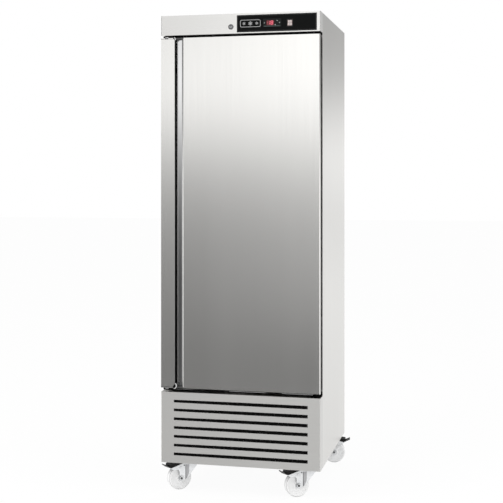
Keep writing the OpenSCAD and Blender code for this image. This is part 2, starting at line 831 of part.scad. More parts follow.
// Fan with flat raked blades on a hub, axis along Z, standing on z = 0
module fan(r, hub_r, depth, blades) {
    difference() {
        union() {
            cylinder(r = hub_r, h = depth, $fn = 48);
            intersection() {
                cylinder(r = r, h = depth, $fn = 96);
                for (i = [0:blades - 1]) rotate([0, 0, i * 360 / blades])
                    translate([hub_r - 3, 0, depth / 2]) rotate([32, 0, 0])
                        translate([0, -r * 0.3, -0.8]) cube([r, r * 0.6, 1.6]);
            }
        }
        translate([0, 0, -1]) cylinder(r = shaft_r + fit, h = depth + 2, $fn = 48);
    }
}

module evaporator_fan() {
    color("darkslategray") translate([0, evap_fan_y, evap_z0 + 6])
        fan(evap_fan_r, evap_hub_r, evap_fan_d, fan_blades);
}

module condenser_fan() {
    color("darkslategray") translate([condenser_x, shroud_y + 6, cond_fan_z]) rotate([-90, 0, 0])
        fan(cond_fan_r, cond_hub_r, cond_fan_d, fan_blades);
}

// Motor standing on z = 0 with its shaft pointing down through the fan
module motor(r, l, shaft) {
    cylinder(r = r, h = l, $fn = 48);
    translate([0, 0, -shaft]) cylinder(r = shaft_r, h = shaft + 1, $fn = 48);
}

// The evaporator's motor hangs from the ceiling, the condenser's is held by arms on the shroud
module fan_motors() {
    z = evap_z0 + 30;
    y = shroud_y + 36;
    color("darkgray") {
        translate([0, evap_fan_y, z]) {
            motor(26, 40, 22);
            block([-45, 45], [-12, 12], [cabin_z1 - z - 2, cabin_z1 - z]);
            for (x = [-24, 22]) block([x, x + 2], [-12, 12], [20, cabin_z1 - z]);
        }
        translate([condenser_x, y, cond_fan_z]) rotate([-90, 0, 0]) {
            motor(36, 60, 28);
            for (a = [45:90:315]) rotate([0, 0, a]) {
                block([30, cond_fan_r + 12], [-4, 4], [8, 11]);
                block([cond_fan_r + 9, cond_fan_r + 12], [-4, 4], [-34, 11]);
            }
        }
    }
}

module condensate_pan() {
    x = [-chase_x - 40, -chase_x + 150];
    y = [foam_y1 - 150, foam_y1 - base_t];
    color("whitesmoke") difference() {
        block(x, y, [floor_z, floor_z + 26]);
        block([x[0] + 1.5, x[1] - 1.5], [y[0] + 1.5, y[1] - 1.5], [floor_z + 1.5, floor_z + 27]);
    }
}

// Box with its lid's rim and three cable entries
module electrical_box() {
    x1 = hw - box_side;
    x0 = x1 - box_w;
    rim = 4;
    color("gray") {
        block([x0, x1], [0, box_d], [foam_z1, foam_z1 + box_h]);
        block([x0 - rim, x1 + rim], [-rim, box_d + rim], [foam_z1 + box_h - 7, foam_z1 + box_h - 3]);
        for (i = [1:3]) rod_y(x0 + i * box_w / 4, [-14, lap], foam_z1 + box_h / 2, 8, 24);
    }
}

module cable_gland() {
    color("black") {
        rod_y(gland_x, [foam_y1 - 10, back_y], gland_z, gland_r);
        rod_y(gland_x, [foam_y1 - 6, foam_y1], gland_z, gland_r + 4, 6);
    }
}

// Pan section of the door in plan: straight on the grip side, rounded at the hinge side
module pan_2d(inset) {
    r = edge_r - inset;
    translate([panel_x, front_y + inset]) square([hw - edge_r - panel_x, pan_d - inset]);
    translate([hw - edge_r, front_y + edge_r]) square([edge_r - inset, pan_d - edge_r]);
    translate([hw - edge_r, front_y + edge_r]) circle(r = r, $fn = 48);
}

// Steel pan of the door, closed at its top and bottom
module door_skin() {
    color("silver") difference() {
        translate([0, 0, door_z0]) linear_extrude(door_z1 - door_z0) pan_2d(0);
        translate([0, 0, door_z0 + sheet_t]) linear_extrude(door_z1 - door_z0 - 2 * sheet_t) {
            pan_2d(sheet_t);
            translate([panel_x - 1, front_y + sheet_t]) square([hw - edge_r - panel_x, pan_d]);
            translate([panel_x - 1, front_y + edge_r]) square([hw - sheet_t - panel_x + 1, pan_d]);
        }
        bush_holes();
        lock_slot();
    }
}

// Holes for the bushes, and the slot that the lock's cam drops into
module bush_holes() {
    for (z = [door_z0, door_z1 - bush_l])
        rod_z(hinge_x, hinge_y, [z - (z == door_z0 ? 1 : 0), z + bush_l + (z == door_z0 ? 0 : 1)],
              pin_r + bush_wall);
}
module lock_slot() {
    block([lock_x - cam_w / 2 - 3, lock_x + cam_len - 8], [cam_y - 2, cam_y + cam_t + 2],
          [door_z1 - 14, door_z1 + 1]);
}

// Foam of the door: in the pan, through the black frame and into the inner plug
module door_core() {
    inner = frame_hw - frame_w;
    plug_y = carcass_y + plug_depth - liner_t;
    color("khaki") difference() {
        union() {
            translate([0, 0, door_z0 + sheet_t])
                linear_extrude(door_z1 - door_z0 - 2 * sheet_t) pan_2d(sheet_t);
            block([-inner, inner], [pan_y, frame_y], [frame_z0 + frame_w, frame_z1 - frame_w]);
            block([panel_x, inner], [pan_y - lap, frame_y], [frame_z0 + frame_w, frame_z1 - frame_w]);
            block([-plug_hw + liner_t, plug_hw - liner_t], [frame_y - lap, plug_y],
                  [cabin_z0 + plug_side + liner_t, cabin_z1 - plug_side - liner_t]);
        }
        bush_holes();
        lock_slot();
    }
}

module door_frame() {
    color("black") ring(frame_hw, [frame_z0, frame_z1], frame_w, [pan_y, frame_y]);
}

// Inner liner of the door with its raised plug
module door_liner() {
    half = gasket_hw - gasket_w;
    z = [gasket_z0 + gasket_w, gasket_z1 - gasket_w];
    plug_z = [cabin_z0 + plug_side, cabin_z1 - plug_side];
    plug_y = carcass_y + plug_depth;
    color("whitesmoke") difference() {
        union() {
            block([-half, half], [frame_y, frame_y + liner_t], z);
            block([-plug_hw, plug_hw], [frame_y, plug_y], plug_z);
        }
        block([-plug_hw + liner_t, plug_hw - liner_t], [frame_y - 1, plug_y - liner_t],
              [plug_z[0] + liner_t, plug_z[1] - liner_t]);
    }
}

// Magnetic gasket: foot, bellows and magnet head, each a ring of its own width
module door_gasket() {
    t = carcass_y - gap - frame_y;
    foot = 3;
    head = 4;
    z = [gasket_z0, gasket_z1];
    color("dimgray") {
        ring(gasket_hw, z, gasket_w, [frame_y, frame_y + foot]);
        ring(gasket_hw - 5, [z[0] + 5, z[1] - 5], gasket_w - 10,
             [frame_y + foot - lap, frame_y + t - head + lap]);
        ring(gasket_hw - 2, [z[0] + 2, z[1] - 2], gasket_w - 4, [frame_y + t - head, frame_y + t]);
    }
}

// Full-height grip folded from one sheet: strip with a hem, side, back, groove floor and rounded edge
module grip_profile() {
    hem = 5;
    hem_w = 9;
    floor_x = strip_x + 4;
    t = grip_t;
    module fold(x, y) translate([x[0], y[0]]) square([x[1] - x[0], y[1] - y[0]]);
    color("silver") translate([0, 0, door_z0 + cap_t]) linear_extrude(door_z1 - door_z0 - 2 * cap_t) {
        fold([-hw, strip_x], [front_y, front_y + t]);
        fold([strip_x - t, strip_x], [front_y, front_y + hem]);
        fold([strip_x - hem_w, strip_x], [front_y + hem - t, front_y + hem]);
        fold([-hw, -hw + t], [front_y, pan_y]);
        fold([-hw, floor_x], [pan_y - t, pan_y]);
        fold([floor_x - t, floor_x], [floor_y, pan_y]);
        fold([floor_x - t, groove_x + t], [floor_y, floor_y + t]);
        fold([groove_x, groove_x + t], [front_y + edge_r, floor_y + t]);
        translate([panel_x, front_y + edge_r]) intersection() {
            difference() {
                circle(r = edge_r, $fn = 64);
                circle(r = edge_r - t, $fn = 64);
            }
            translate([-edge_r, -edge_r]) square(edge_r);
        }
    }
}

// Caps that close the two ends of the grip
module grip_caps() {
    color("gray") for (z = [door_z0, door_z1 - cap_t]) {
        block([-hw, panel_x], [front_y, pan_y], [z, z + cap_t]);
        translate([0, 0, z]) linear_extrude(cap_t)
            translate([(strip_x - hw) / 2, front_y - cap_proud / 2 + 1])
                slot_2d(strip_w, cap_proud + 2, 2);
    }
}

module hinge_bushes() {
    color("white") for (z = [door_z0, door_z1 - bush_l]) difference() {
        rod_z(hinge_x, hinge_y, [z, z + bush_l], pin_r + bush_wall);
        rod_z(hinge_x, hinge_y, [z - 1, z + bush_l + 1], pin_r + fit);
    }
}

// Castor plate with its bolts, the fixed race and the kingpin with its nut
module castor_plate() {
    under = castor_h - plate_t;
    color("silver") {
        block([-plate_l / 2, plate_l / 2], [-plate_w / 2, plate_w / 2], [under, castor_h]);
        for (x = [-bolt_x, bolt_x], y = [-bolt_y, bolt_y]) rod_z(x, y, [under - bolt_h, under], bolt_r, 6);
        rod_z(0, 0, [crown_top + 0.5, under], head_r);
        rod_z(0, 0, [crown_z - 8, under], kingpin_r);
        rod_z(0, 0, [crown_z - 8, crown_z - 0.5], kingpin_r + 3.5, 6);
    }
}

// The plates stay square to the cabinet, whichever way the castor trails
module castor_plates() {
    for (c = castors) translate([c[1], c[2], 0]) castor_plate();
}

// Side of the fork: a strip down to the axle, and a horn that reaches out over the wheel
module cheek_2d() {
    polygon([[crease_x, crown_top], [crease_x, axle_z - 5],
             [trail - foot_r / 2, axle_z - foot_r * cos(30)], [trail, axle_z], [trail + foot_r, axle_z],
             [strip_front, axle_z + 8], [strip_front, horn_z], [horn_x - 12, horn_z],
             [horn_x - 2, horn_tip - 3], [horn_x, horn_tip], [horn_root, crown_top]]);
    translate([trail, axle_z]) circle(r = foot_r, $fn = 48);
    translate([strip_front, horn_z - fillet_r]) difference() {
        square(fillet_r);
        translate([fillet_r, 0]) circle(r = fillet_r, $fn = 48);
    }
}

// Wing behind the crease, cut off along a straight line from the crown down to the axle
module wing_2d() {
    polygon([[wing_x, crown_top], [wing_x, crown_z], [crease_x - 10.5, axle_z - 3],
             [crease_x + leg_t, axle_z - 6], [crease_x + leg_t, crown_top]]);
}

// Wall that closes the fork between the wings, along the upper part of their slanted edge
module back_2d() {
    share = 0.48;
    foot = [wing_x + share * (crease_x - 10.5 - wing_x), crown_z + share * (axle_z - 3 - crown_z)];
    polygon([[wing_x, crown_z], foot, foot + [2, 2], [wing_x + 4, crown_z + 1]]);
}

// Pressed fork: cheeks, wings, crown, back wall, cover of the horn, rivets and axle bolt
module castor_fork() {
    cheek = leg_y + leg_t;
    wing = wing_y + leg_t;
    bolt = cheek + 5;
    color("lightgray") {
        difference() {
            union() {
                for (y = [-cheek, leg_y]) slab_y(y, leg_t) cheek_2d();
                for (y = [-wing, wing_y]) slab_y(y, leg_t) wing_2d();
                slab_y(-wing, 2 * wing) back_2d();
                slab_y(-cheek, 2 * cheek)
                    polygon([[cover_x, horn_line(cover_x)], [horn_x, horn_tip], [horn_x - 2, horn_tip - 3],
                             [cover_x, horn_line(cover_x) - leg_t]]);
                block([wing_x, crease_x - 2], [-wing, wing], [crown_z, crown_top]);
                rod_z(0, 0, [crown_z, crown_top], head_r);
            }
            rod_z(0, 0, [crown_z - 1, crown_top + 1], kingpin_r + fit);
            rod_y(pedal_x, [-cheek - 1, cheek + 1], pedal_z, pedal_pin_r + fit);
            rod_y(trail, [-cheek - 1, cheek + 1], axle_z, axle_r);
        }
        rod_y(trail, [-cheek, cheek], axle_z, axle_r);
        for (side = [0, 1]) mirror([0, side, 0]) {
            rod_y(trail, [cheek - lap, bolt], axle_z, axle_r + 3, 6);
            rod_y(trail + 2, [cheek - lap, cheek + 1.5], crown_top - 16, 4);
        }
    }
}

// Nylon wheel with shallow dished faces, a hub and a rounded tread
module castor_wheel() {
    r = wheel_d / 2;
    h = wheel_w / 2;
    hub = leg_y - 0.5;
    round_r = 5;
    edge = [for (a = [0:15:90]) [r - round_r + round_r * sin(a), -h + round_r - round_r * cos(a)]];
    far_edge = [for (i = [len(edge) - 1:-1:0]) [edge[i][0], -edge[i][1]]];
    color("white") translate([trail, 0, r]) rotate([90, 0, 0]) rotate_extrude($fn = 96)
        polygon(concat([[axle_r + fit, -hub], [14, -hub], [17, -h + 3], [r - 14, -h + 2]], edge, far_edge,
                       [[r - 14, h - 2], [17, h - 3], [14, hub], [axle_r + fit, hub]]));
}

// Brake pedal: a root between the cheeks on its pin, a wedge over the horn and a slanting metal tab
module castor_pedal() {
    pin = leg_y + leg_t + 2;
    low = pedal_z - 1.7;
    under = crown_top + pedal_lift;
    top = crown_top + 3;
    color("black") {
        slab_y(-root_y, 2 * root_y) {
            translate([pedal_x, pedal_z]) circle(r = eye_r, $fn = 32);
            polygon([[pedal_x, pedal_z - eye_r], [trail - 6, low], [cover_x - 1, low], [cover_x - 1, top],
                     [horn_root, top], [horn_root, pedal_z + 3.3], [pedal_x, pedal_z + 3.3]]);
        }
        rod_y(pedal_x, [-pin, pin], pedal_z, pedal_pin_r);
        slab_y(-pedal_hw, 2 * pedal_hw)
            polygon([[horn_root + 1, under], [horn_x - 8, horn_line(horn_x - 8) + pedal_lift],
                     [horn_x + 4, horn_tip + 2.5], [horn_x + 7, horn_tip + 4], [horn_x + 6, crown_top],
                     [horn_x - 14, top], [horn_root + 14, top - 0.4], [horn_root + 1, top - 1.2]]);
        slab_y(-tab_hw, 2 * tab_hw)
            polygon([[horn_x - 1, horn_tip + 4], [horn_x + 2, horn_tip + 1.5], [pedal_reach, crown_top - 3],
                     [pedal_reach - 1, crown_top - 1], [horn_x + 4, horn_tip + 5]]);
    }
}

side_panel(-1);  // left_side_panel
side_panel(1);  // right_side_panel
top_panel();
back_panel();
base_plate();
cabinet_insulation();
cabin_liner();
breaker_frame();
header_panel();
control_fascia();
display_lens();
controller_module();
grille_panel();
air_filter();
hinge_brackets();
shelf_pilasters();
shelf_slides();
wire_shelves();
evaporator_cover();
evaporator_coil();
drip_tray();
drain_tube();
compressor();
condenser_coil();
condenser_shroud();
fan_motors();
refrigerant_lines();
condensate_pan();
electrical_box();
castor_plates();
lock_body();
cable_gland();
door_skin();
door_core();
door_frame();
door_liner();
door_gasket();
grip_profile();
grip_caps();
hinge_bushes();
lock_barrel();
power_switch();
key(0);  // key_left
key(1);  // key_up
key(2);  // key_right
key(3);  // key_down
evaporator_fan();
condenser_fan();
for (c = castors) {
    at_castor(c) castor_fork();
    at_castor(c) castor_wheel();
    at_castor(c) castor_pedal();
}
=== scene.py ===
"""Upright freezer cabinet: finishes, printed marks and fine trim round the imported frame.

Sizes and places are in mm on the frame's axes, and turn into metres where a vertex or a matrix is
made. The camera, the lamps and the floor are in metres.
"""

import json
import math
from contextlib import contextmanager

import bmesh
import bpy
from mathutils import Matrix, Vector


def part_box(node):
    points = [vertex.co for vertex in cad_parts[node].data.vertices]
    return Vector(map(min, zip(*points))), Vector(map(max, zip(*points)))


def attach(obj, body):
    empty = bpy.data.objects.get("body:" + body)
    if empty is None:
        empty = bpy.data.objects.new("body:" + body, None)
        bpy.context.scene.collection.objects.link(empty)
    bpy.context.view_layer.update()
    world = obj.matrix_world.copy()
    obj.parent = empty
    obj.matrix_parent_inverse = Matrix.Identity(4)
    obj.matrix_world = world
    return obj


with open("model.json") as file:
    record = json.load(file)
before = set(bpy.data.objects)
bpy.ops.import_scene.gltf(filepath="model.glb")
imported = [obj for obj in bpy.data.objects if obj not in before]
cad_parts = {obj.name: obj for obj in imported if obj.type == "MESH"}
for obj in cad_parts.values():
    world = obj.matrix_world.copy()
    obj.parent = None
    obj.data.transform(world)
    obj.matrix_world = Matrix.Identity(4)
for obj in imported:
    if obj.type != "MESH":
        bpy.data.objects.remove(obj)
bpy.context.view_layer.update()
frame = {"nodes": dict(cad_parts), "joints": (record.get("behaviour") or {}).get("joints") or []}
NODES = frame["nodes"]
JOINTS = {joint["name"]: joint for joint in frame["joints"]}
CASTORS = ("front_left", "front_right", "rear_left", "rear_right")
MM = 0.001


def box(node):
    """Lower and upper corner of a node's box, in mm."""
    return tuple(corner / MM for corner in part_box(node))


# Boxes and planes that the trim is set out from
FASCIA_LO, FASCIA_HI = box("control_fascia")
CONTROL_LO, CONTROL_HI = box("controller_module")
LENS_LO, LENS_HI = box("display_lens")
GRIP_LO, GRIP_HI = box("grip_profile")
CAP_LO, CAP_HI = box("grip_caps")
PAN_LO, PAN_HI = box("door_skin")
LOCK_LO, LOCK_HI = box("lock_body")
SWITCH_LO, SWITCH_HI = box("power_switch")
BACK_LO, BACK_HI = box("back_panel")
GRILLE_LO, GRILLE_HI = box("grille_panel")
FRONT_Y = box("header_panel")[0].y


def map_range(tree, source, low, high, start, end, kind="LINEAR"):
    """Maps start to end onto low to high, and holds the values past both."""
    node = tree.nodes.new("ShaderNodeMapRange")
    node.interpolation_type = kind
    for socket, value in zip(("From Min", "From Max", "To Min", "To Max"), (start, end, low, high)):
        node.inputs[socket].default_value = value
    tree.links.new(source, node.inputs["Value"])
    return node.outputs["Result"]


MATERIALS = {}
# Range that most of a noise's values lie in
NOISE_START, NOISE_END = 0.3, 0.7


class Finish:
    """A Principled material in MATERIALS, with short calls for the textures that shape it.

    A texture's scale is in features per metre. Tints are factors on the colour, gloss is roughness.
    """

    SHELTER_SAMPLES = 8

    def __init__(self, name, color, roughness, metallic=0.0, **sockets):
        MATERIALS[name] = bpy.data.materials.new(name)
        MATERIALS[name].use_nodes = True
        self.tree = MATERIALS[name].node_tree
        self.nodes, self.links = self.tree.nodes, self.tree.links
        self.shader = self.nodes["Principled BSDF"]
        self.color = (*color, 1.0)
        self.shader.inputs["Base Color"].default_value = self.color
        self.shader.inputs["Roughness"].default_value = roughness
        self.shader.inputs["Metallic"].default_value = metallic
        for socket, value in sockets.items():
            self.shader.inputs[socket.replace("_", " ")].default_value = value
        self.place = self.nodes.new("ShaderNodeTexCoord").outputs["Object"]

    def noise(self, scale, stretch=(1, 1, 1), detail=3.0, shift=0.0):
        """Noise, drawn out along an axis where its stretch is small."""
        mapping = self.nodes.new("ShaderNodeMapping")
        mapping.inputs["Scale"].default_value = [scale * s for s in stretch]
        mapping.inputs["Location"].default_value = (shift, shift, shift)
        texture = self.nodes.new("ShaderNodeTexNoise")
        texture.inputs["Scale"].default_value = 1.0
        texture.inputs["Detail"].default_value = detail
        self.links.new(self.place, mapping.inputs["Vector"])
        self.links.new(mapping.outputs["Vector"], texture.inputs["Vector"])
        return texture.outputs["Fac"]

    def cells(self, scale, output="Distance"):
        """Cells of a crystal or foam: the distance to their middle, or a colour for each."""
        texture = self.nodes.new("ShaderNodeTexVoronoi")
        texture.inputs["Scale"].default_value = scale
        self.links.new(self.place, texture.inputs["Vector"])
        return texture.outputs[output]

    def occlusion_shade(self, reach):
        """How open a place is: 0 deep in a corner, 1 in the open, looking as far as the reach. It
        is used to paint shade into corners and next to nearby parts.
        """
        node = self.nodes.new("ShaderNodeAmbientOcclusion")
        node.samples = self.SHELTER_SAMPLES
        node.inputs["Distance"].default_value = reach * MM
        return node.outputs["AO"]

    def level(self):
        """Height above the floor in metres."""
        split = self.nodes.new("ShaderNodeSeparateXYZ")
        self.links.new(self.place, split.inputs["Vector"])
        return split.outputs["Z"]

    def tint(self, source, low, high, start=NOISE_START, end=NOISE_END):
        """Multiplies the colour by low to high where the source runs from start to end."""
        mix = self.nodes.new("ShaderNodeMix")
        mix.data_type = "RGBA"
        mix.blend_type = "MULTIPLY"
        mix.inputs["Factor"].default_value = 1.0
        base = self.shader.inputs["Base Color"]
        if base.links:
            self.links.new(base.links[0].from_socket, mix.inputs["A"])
        else:
            mix.inputs["A"].default_value = self.color
        self.links.new(map_range(self.tree, source, low, high, start, end), mix.inputs["B"])
        self.links.new(mix.outputs["Result"], base)
        return self

    def gloss(self, noise, low, high):
        """Lets the roughness run from low to high with a noise."""
        rough = map_range(self.tree, noise, low, high, NOISE_START, NOISE_END)
        self.links.new(rough, self.shader.inputs["Roughness"])
        return self

    def bump(self, source, height):
        """Adds relief of a real height."""
        bump = self.nodes.new("ShaderNodeBump")
        bump.inputs["Strength"].default_value = 1.0
        bump.inputs["Distance"].default_value = height * MM
        normal = self.shader.inputs["Normal"]
        if normal.links:
            self.links.new(normal.links[0].from_socket, bump.inputs["Normal"])
        self.links.new(source, bump.inputs["Height"])
        self.links.new(bump.outputs["Normal"], normal)
        return self

    def glow(self, color, strength):
        """Lights the surface itself."""
        self.shader.inputs["Emission Color"].default_value = (*color, 1.0)
        self.shader.inputs["Emission Strength"].default_value = strength
        return self


# Steel's polishing: stretch of its lines along each axis, scale of fine lines, streaks, wipes and
# sheen, and the fine lines' tint and relief
GRAIN = {"x": (0.004, 0.004, 1), "y": (1, 0.004, 1), "z": (1, 1, 0.004)}
LINE_SCALE, STREAK_SCALE, WIPE_SCALE, SHEEN_SCALE = 900, 160, 2.6, 14
LINE_TINT, LINE_RELIEF = (0.98, 1.012), 0.004


def brushed_steel(name, color, roughness, grain="z", anisotropic=0.5, turn=0.0):
    """Satin stainless steel with its polishing lines along one axis."""
    along = GRAIN[grain]
    finish = Finish(name, color, roughness, 1.0, Anisotropic=anisotropic, Anisotropic_Rotation=turn)
    lines = finish.noise(LINE_SCALE, along, detail=4)
    streaks = finish.noise(STREAK_SCALE, along, detail=2, shift=3.1)
    wipes = finish.noise(WIPE_SCALE, (1, 1, 0.5), detail=4, shift=7.7)
    sheen = finish.noise(SHEEN_SCALE, along, detail=5, shift=1.3)
    finish.tint(lines, *LINE_TINT).tint(streaks, 0.992, 1.005).tint(wipes, 0.985, 1.01)
    finish.gloss(sheen, roughness - 0.008, roughness + 0.01).bump(lines, LINE_RELIEF)


def trough_painted_shade_steel(name, color, roughness):
    """Satin insert of the grip's trough, darker than the door as painted shade, and paler towards
    the top as a painted reflection.
    """
    finish = Finish(name, color, roughness, 1.0, Anisotropic=0.8)
    lines = finish.noise(LINE_SCALE, GRAIN["z"], detail=4)
    # Painted reflection: the colour is multiplied by 0.8 at 0.9 m, rising to 1.4 at 1.74 m
    finish.tint(lines, *LINE_TINT).tint(finish.level(), low=0.8, high=1.4, start=0.9, end=1.74)
    finish.bump(lines, LINE_RELIEF)


def galvanised(name, color):
    """Zinc-coated sheet with its spangle."""
    finish = Finish(name, color, 0.42, 1.0)
    finish.tint(finish.cells(55, output="Color"), low=0.86, high=1.06, start=0.0, end=1.0)
    finish.gloss(finish.noise(40), 0.34, 0.5)


def zinc_plate(name, color):
    """Bright zinc: slightly uneven, with a soft drawn grain from the pressing, and painted shade in
    its corners and near other parts.
    """
    finish = Finish(name, color, 0.42, 0.75)
    finish.tint(finish.noise(70), 0.93, 1.03).gloss(finish.noise(220), 0.36, 0.5)
    # Painted shade: darker where occlusion within 45 mm finds corners or nearby parts
    finish.tint(finish.occlusion_shade(45), low=0.4, high=1.0, start=0.3, end=1.0)
    finish.bump(finish.noise(500), 0.006)


def polished(name, color, roughness):
    """Chrome with faint rub marks."""
    finish = Finish(name, color, roughness, 1.0)
    finish.gloss(finish.noise(300, (1, 1, 0.1)), roughness, roughness + 0.08)
    finish.tint(finish.noise(90), 0.94, 1.02)


def plastic(name, color, roughness, **sockets):
    """Moulded plastic with a fine spark-eroded grain."""
    finish = Finish(name, color, roughness, **sockets)
    finish.bump(finish.noise(1400, detail=2), 0.02).tint(finish.noise(30), 0.93, 1.04)
    finish.gloss(finish.noise(60), roughness - 0.05, roughness + 0.06)


def coated(name, color, roughness=0.35, mottle=1.0):
    """Coated sheet or wire with a faint orange peel."""
    finish = Finish(name, color, roughness)
    finish.bump(finish.noise(260, detail=1), 0.03)
    finish.tint(finish.noise(12), 1 - 0.04 * mottle, 1 + 0.02 * mottle)
    finish.gloss(finish.noise(40), roughness - 0.04, roughness + 0.06)


def gloss_print(name, color):
    """Back-printed glossy panel: a clear face over the colour, with faint dust and wipe marks."""
    finish = Finish(name, color, 0.12, Specular_IOR_Level=0.04)
    finish.gloss(finish.noise(25, (1, 1, 2.5)), 0.09, 0.17)
    finish.tint(finish.noise(400), 0.9, 1.15)


def matt_black(name, color):
    """Dull black that shows no shine at a glancing angle."""
    finish = Finish(name, color, 0.85, Specular_IOR_Level=0.04)
    finish.tint(finish.noise(90), 0.8, 1.2).bump(finish.noise(700), 0.02)


def foam(name, color):
    """Cut foam with open cells."""
    finish = Finish(name, color, 0.9)
    finish.bump(finish.cells(900), 0.25).tint(finish.noise(60), 0.88, 1.05)


def rubber(name, color):
    """Dull rubber with a slightly uneven skin."""
    finish = Finish(name, color, 0.7, Specular_IOR_Level=0.2)
    finish.bump(finish.noise(900), 0.03).tint(finish.noise(50), 0.8, 1.25)


def nylon(name, color):
    """White nylon: a waxy sheen, faint scuffs, and painted shade where the fork is close to it."""
    finish = Finish(name, color, 0.38)
    finish.tint(finish.noise(60, detail=5), 0.97, 1.01).gloss(finish.noise(200), 0.34, 0.46)
    # Painted shade: darker where occlusion within 30 mm finds the fork or other nearby parts
    finish.tint(finish.occlusion_shade(30), low=0.6, high=1.0, start=0.15, end=0.6)
    finish.bump(finish.noise(700), 0.004)


def fins(name, color):
    """Thin aluminium fins with uneven edges."""
    finish = Finish(name, color, 0.36, 1.0)
    finish.tint(finish.noise(180, (1, 1, 0.05)), 0.84, 1.05)
    finish.gloss(finish.noise(90), 0.3, 0.46)


def copper(name, color):
    """Copper pipe with tarnish."""
    finish = Finish(name, color, 0.3, 1.0)
    finish.tint(finish.noise(55, detail=5), 0.72, 1.06)
    finish.gloss(finish.noise(80), 0.24, 0.44)


def lit(name, color, strength):
    """A printed or moulded mark with a light behind it."""
    finish = Finish(name, (0.05, 0.01, 0.01), 0.3).glow(color, strength)
    finish.tint(finish.noise(600), 0.9, 1.1)


# The finishes, each with its name, colour and roughness. They go into MATERIALS.
STEEL = (0.62, 0.615, 0.6)
WAXY = {"Subsurface_Weight": 0.2, "Subsurface_Scale": 0.003}
brushed_steel("door_steel", STEEL, 0.185, anisotropic=0.85)
brushed_steel("grip_steel", STEEL, 0.18, anisotropic=0.85)
brushed_steel("header_steel", (0.68, 0.675, 0.66), 0.27, "x", turn=0.25)
brushed_steel("grille_steel", (0.6, 0.595, 0.58), 0.42, "x", turn=0.25)
brushed_steel("side_steel", STEEL, 0.32, anisotropic=0.85)
brushed_steel("plain_steel", (0.6, 0.6, 0.6), 0.38, "y", anisotropic=0.0)
galvanised("galvanised", (0.6, 0.61, 0.62))
# Darker steel of the grip's trough: painted shade
trough_painted_shade_steel("trough_painted_shade_steel", (0.46, 0.46, 0.46), 0.13)
# Pale grey for the grip's rolled lip and the plug's catch: painted highlight
coated("painted_highlight_grey", (0.72, 0.72, 0.72), 0.4)
zinc_plate("zinc", (0.78, 0.79, 0.8))
# Darker zinc on the fork's hollow behind its crease: painted shade
zinc_plate("zinc_painted_shade", (0.42, 0.42, 0.43))
# Dark zinc for the pedal's tab cover and the axle nuts, and as painted shade along the fork's
# crease
zinc_plate("zinc_dark", (0.11, 0.11, 0.11))
plastic("pedal_black", (0.008, 0.008, 0.008), 0.5, Specular_IOR_Level=0.15)
polished("chrome", (0.42, 0.42, 0.43), 0.14)
# Darker copy of the chrome for the lock's collar: painted shade
polished("lock_chrome", (0.22, 0.22, 0.22), 0.2)
plastic("cap_grey", (0.05, 0.05, 0.05), 0.5)
plastic("black_plastic", (0.016, 0.016, 0.016), 0.45)
plastic("frame_black", (0.012, 0.012, 0.012), 0.7, Specular_IOR_Level=0.12)
matt_black("matt_black", (0.004, 0.004, 0.004))
plastic("key_black", (0.012, 0.013, 0.013), 0.5, Specular_IOR_Level=0.1)
plastic("white_plastic", (0.8, 0.8, 0.8), 0.4)
plastic("box_grey", (0.4, 0.41, 0.42), 0.5)
plastic("fan_plastic", (0.03, 0.032, 0.035), 0.4)
plastic("rocker", (0.27, 0.21, 0.2), 0.35, **WAXY)
plastic("rocker_pad", (0.66, 0.58, 0.56), 0.3)
gloss_print("fascia", (0.0032, 0.0036, 0.0036))
gloss_print("lens", (0.03, 0.002, 0.003))
coated("liner", (0.8, 0.8, 0.79), mottle=0.3)
coated("wire", (0.84, 0.84, 0.84), 0.3)
coated("motor", (0.22, 0.23, 0.24), 0.45)
coated("enamel", (0.012, 0.012, 0.012), 0.25)
foam("foam", (0.75, 0.62, 0.33))
rubber("gasket", (0.03, 0.03, 0.03))
matt_black("filter", (0.006, 0.006, 0.006))
nylon("nylon", (0.93, 0.93, 0.93))
# Grey nylon on the wheel's tread edges: painted shade
nylon("nylon_edge_shade", (0.55, 0.55, 0.55))
fins("fins", (0.7, 0.71, 0.73))
copper("copper", (0.72, 0.38, 0.24))
coated("ink_white", (0.5, 0.5, 0.5), 0.4)
coated("ink_grey", (0.06, 0.06, 0.06), 0.4)
coated("ink_green", (0.06, 0.085, 0.08), 0.4)
coated("mark_green", (0.42, 0.47, 0.44), 0.4)
lit("digits", (1.0, 0.14, 0.22), 1.0)
lit("digit_glow", (1.0, 0.03, 0.07), 0.08)

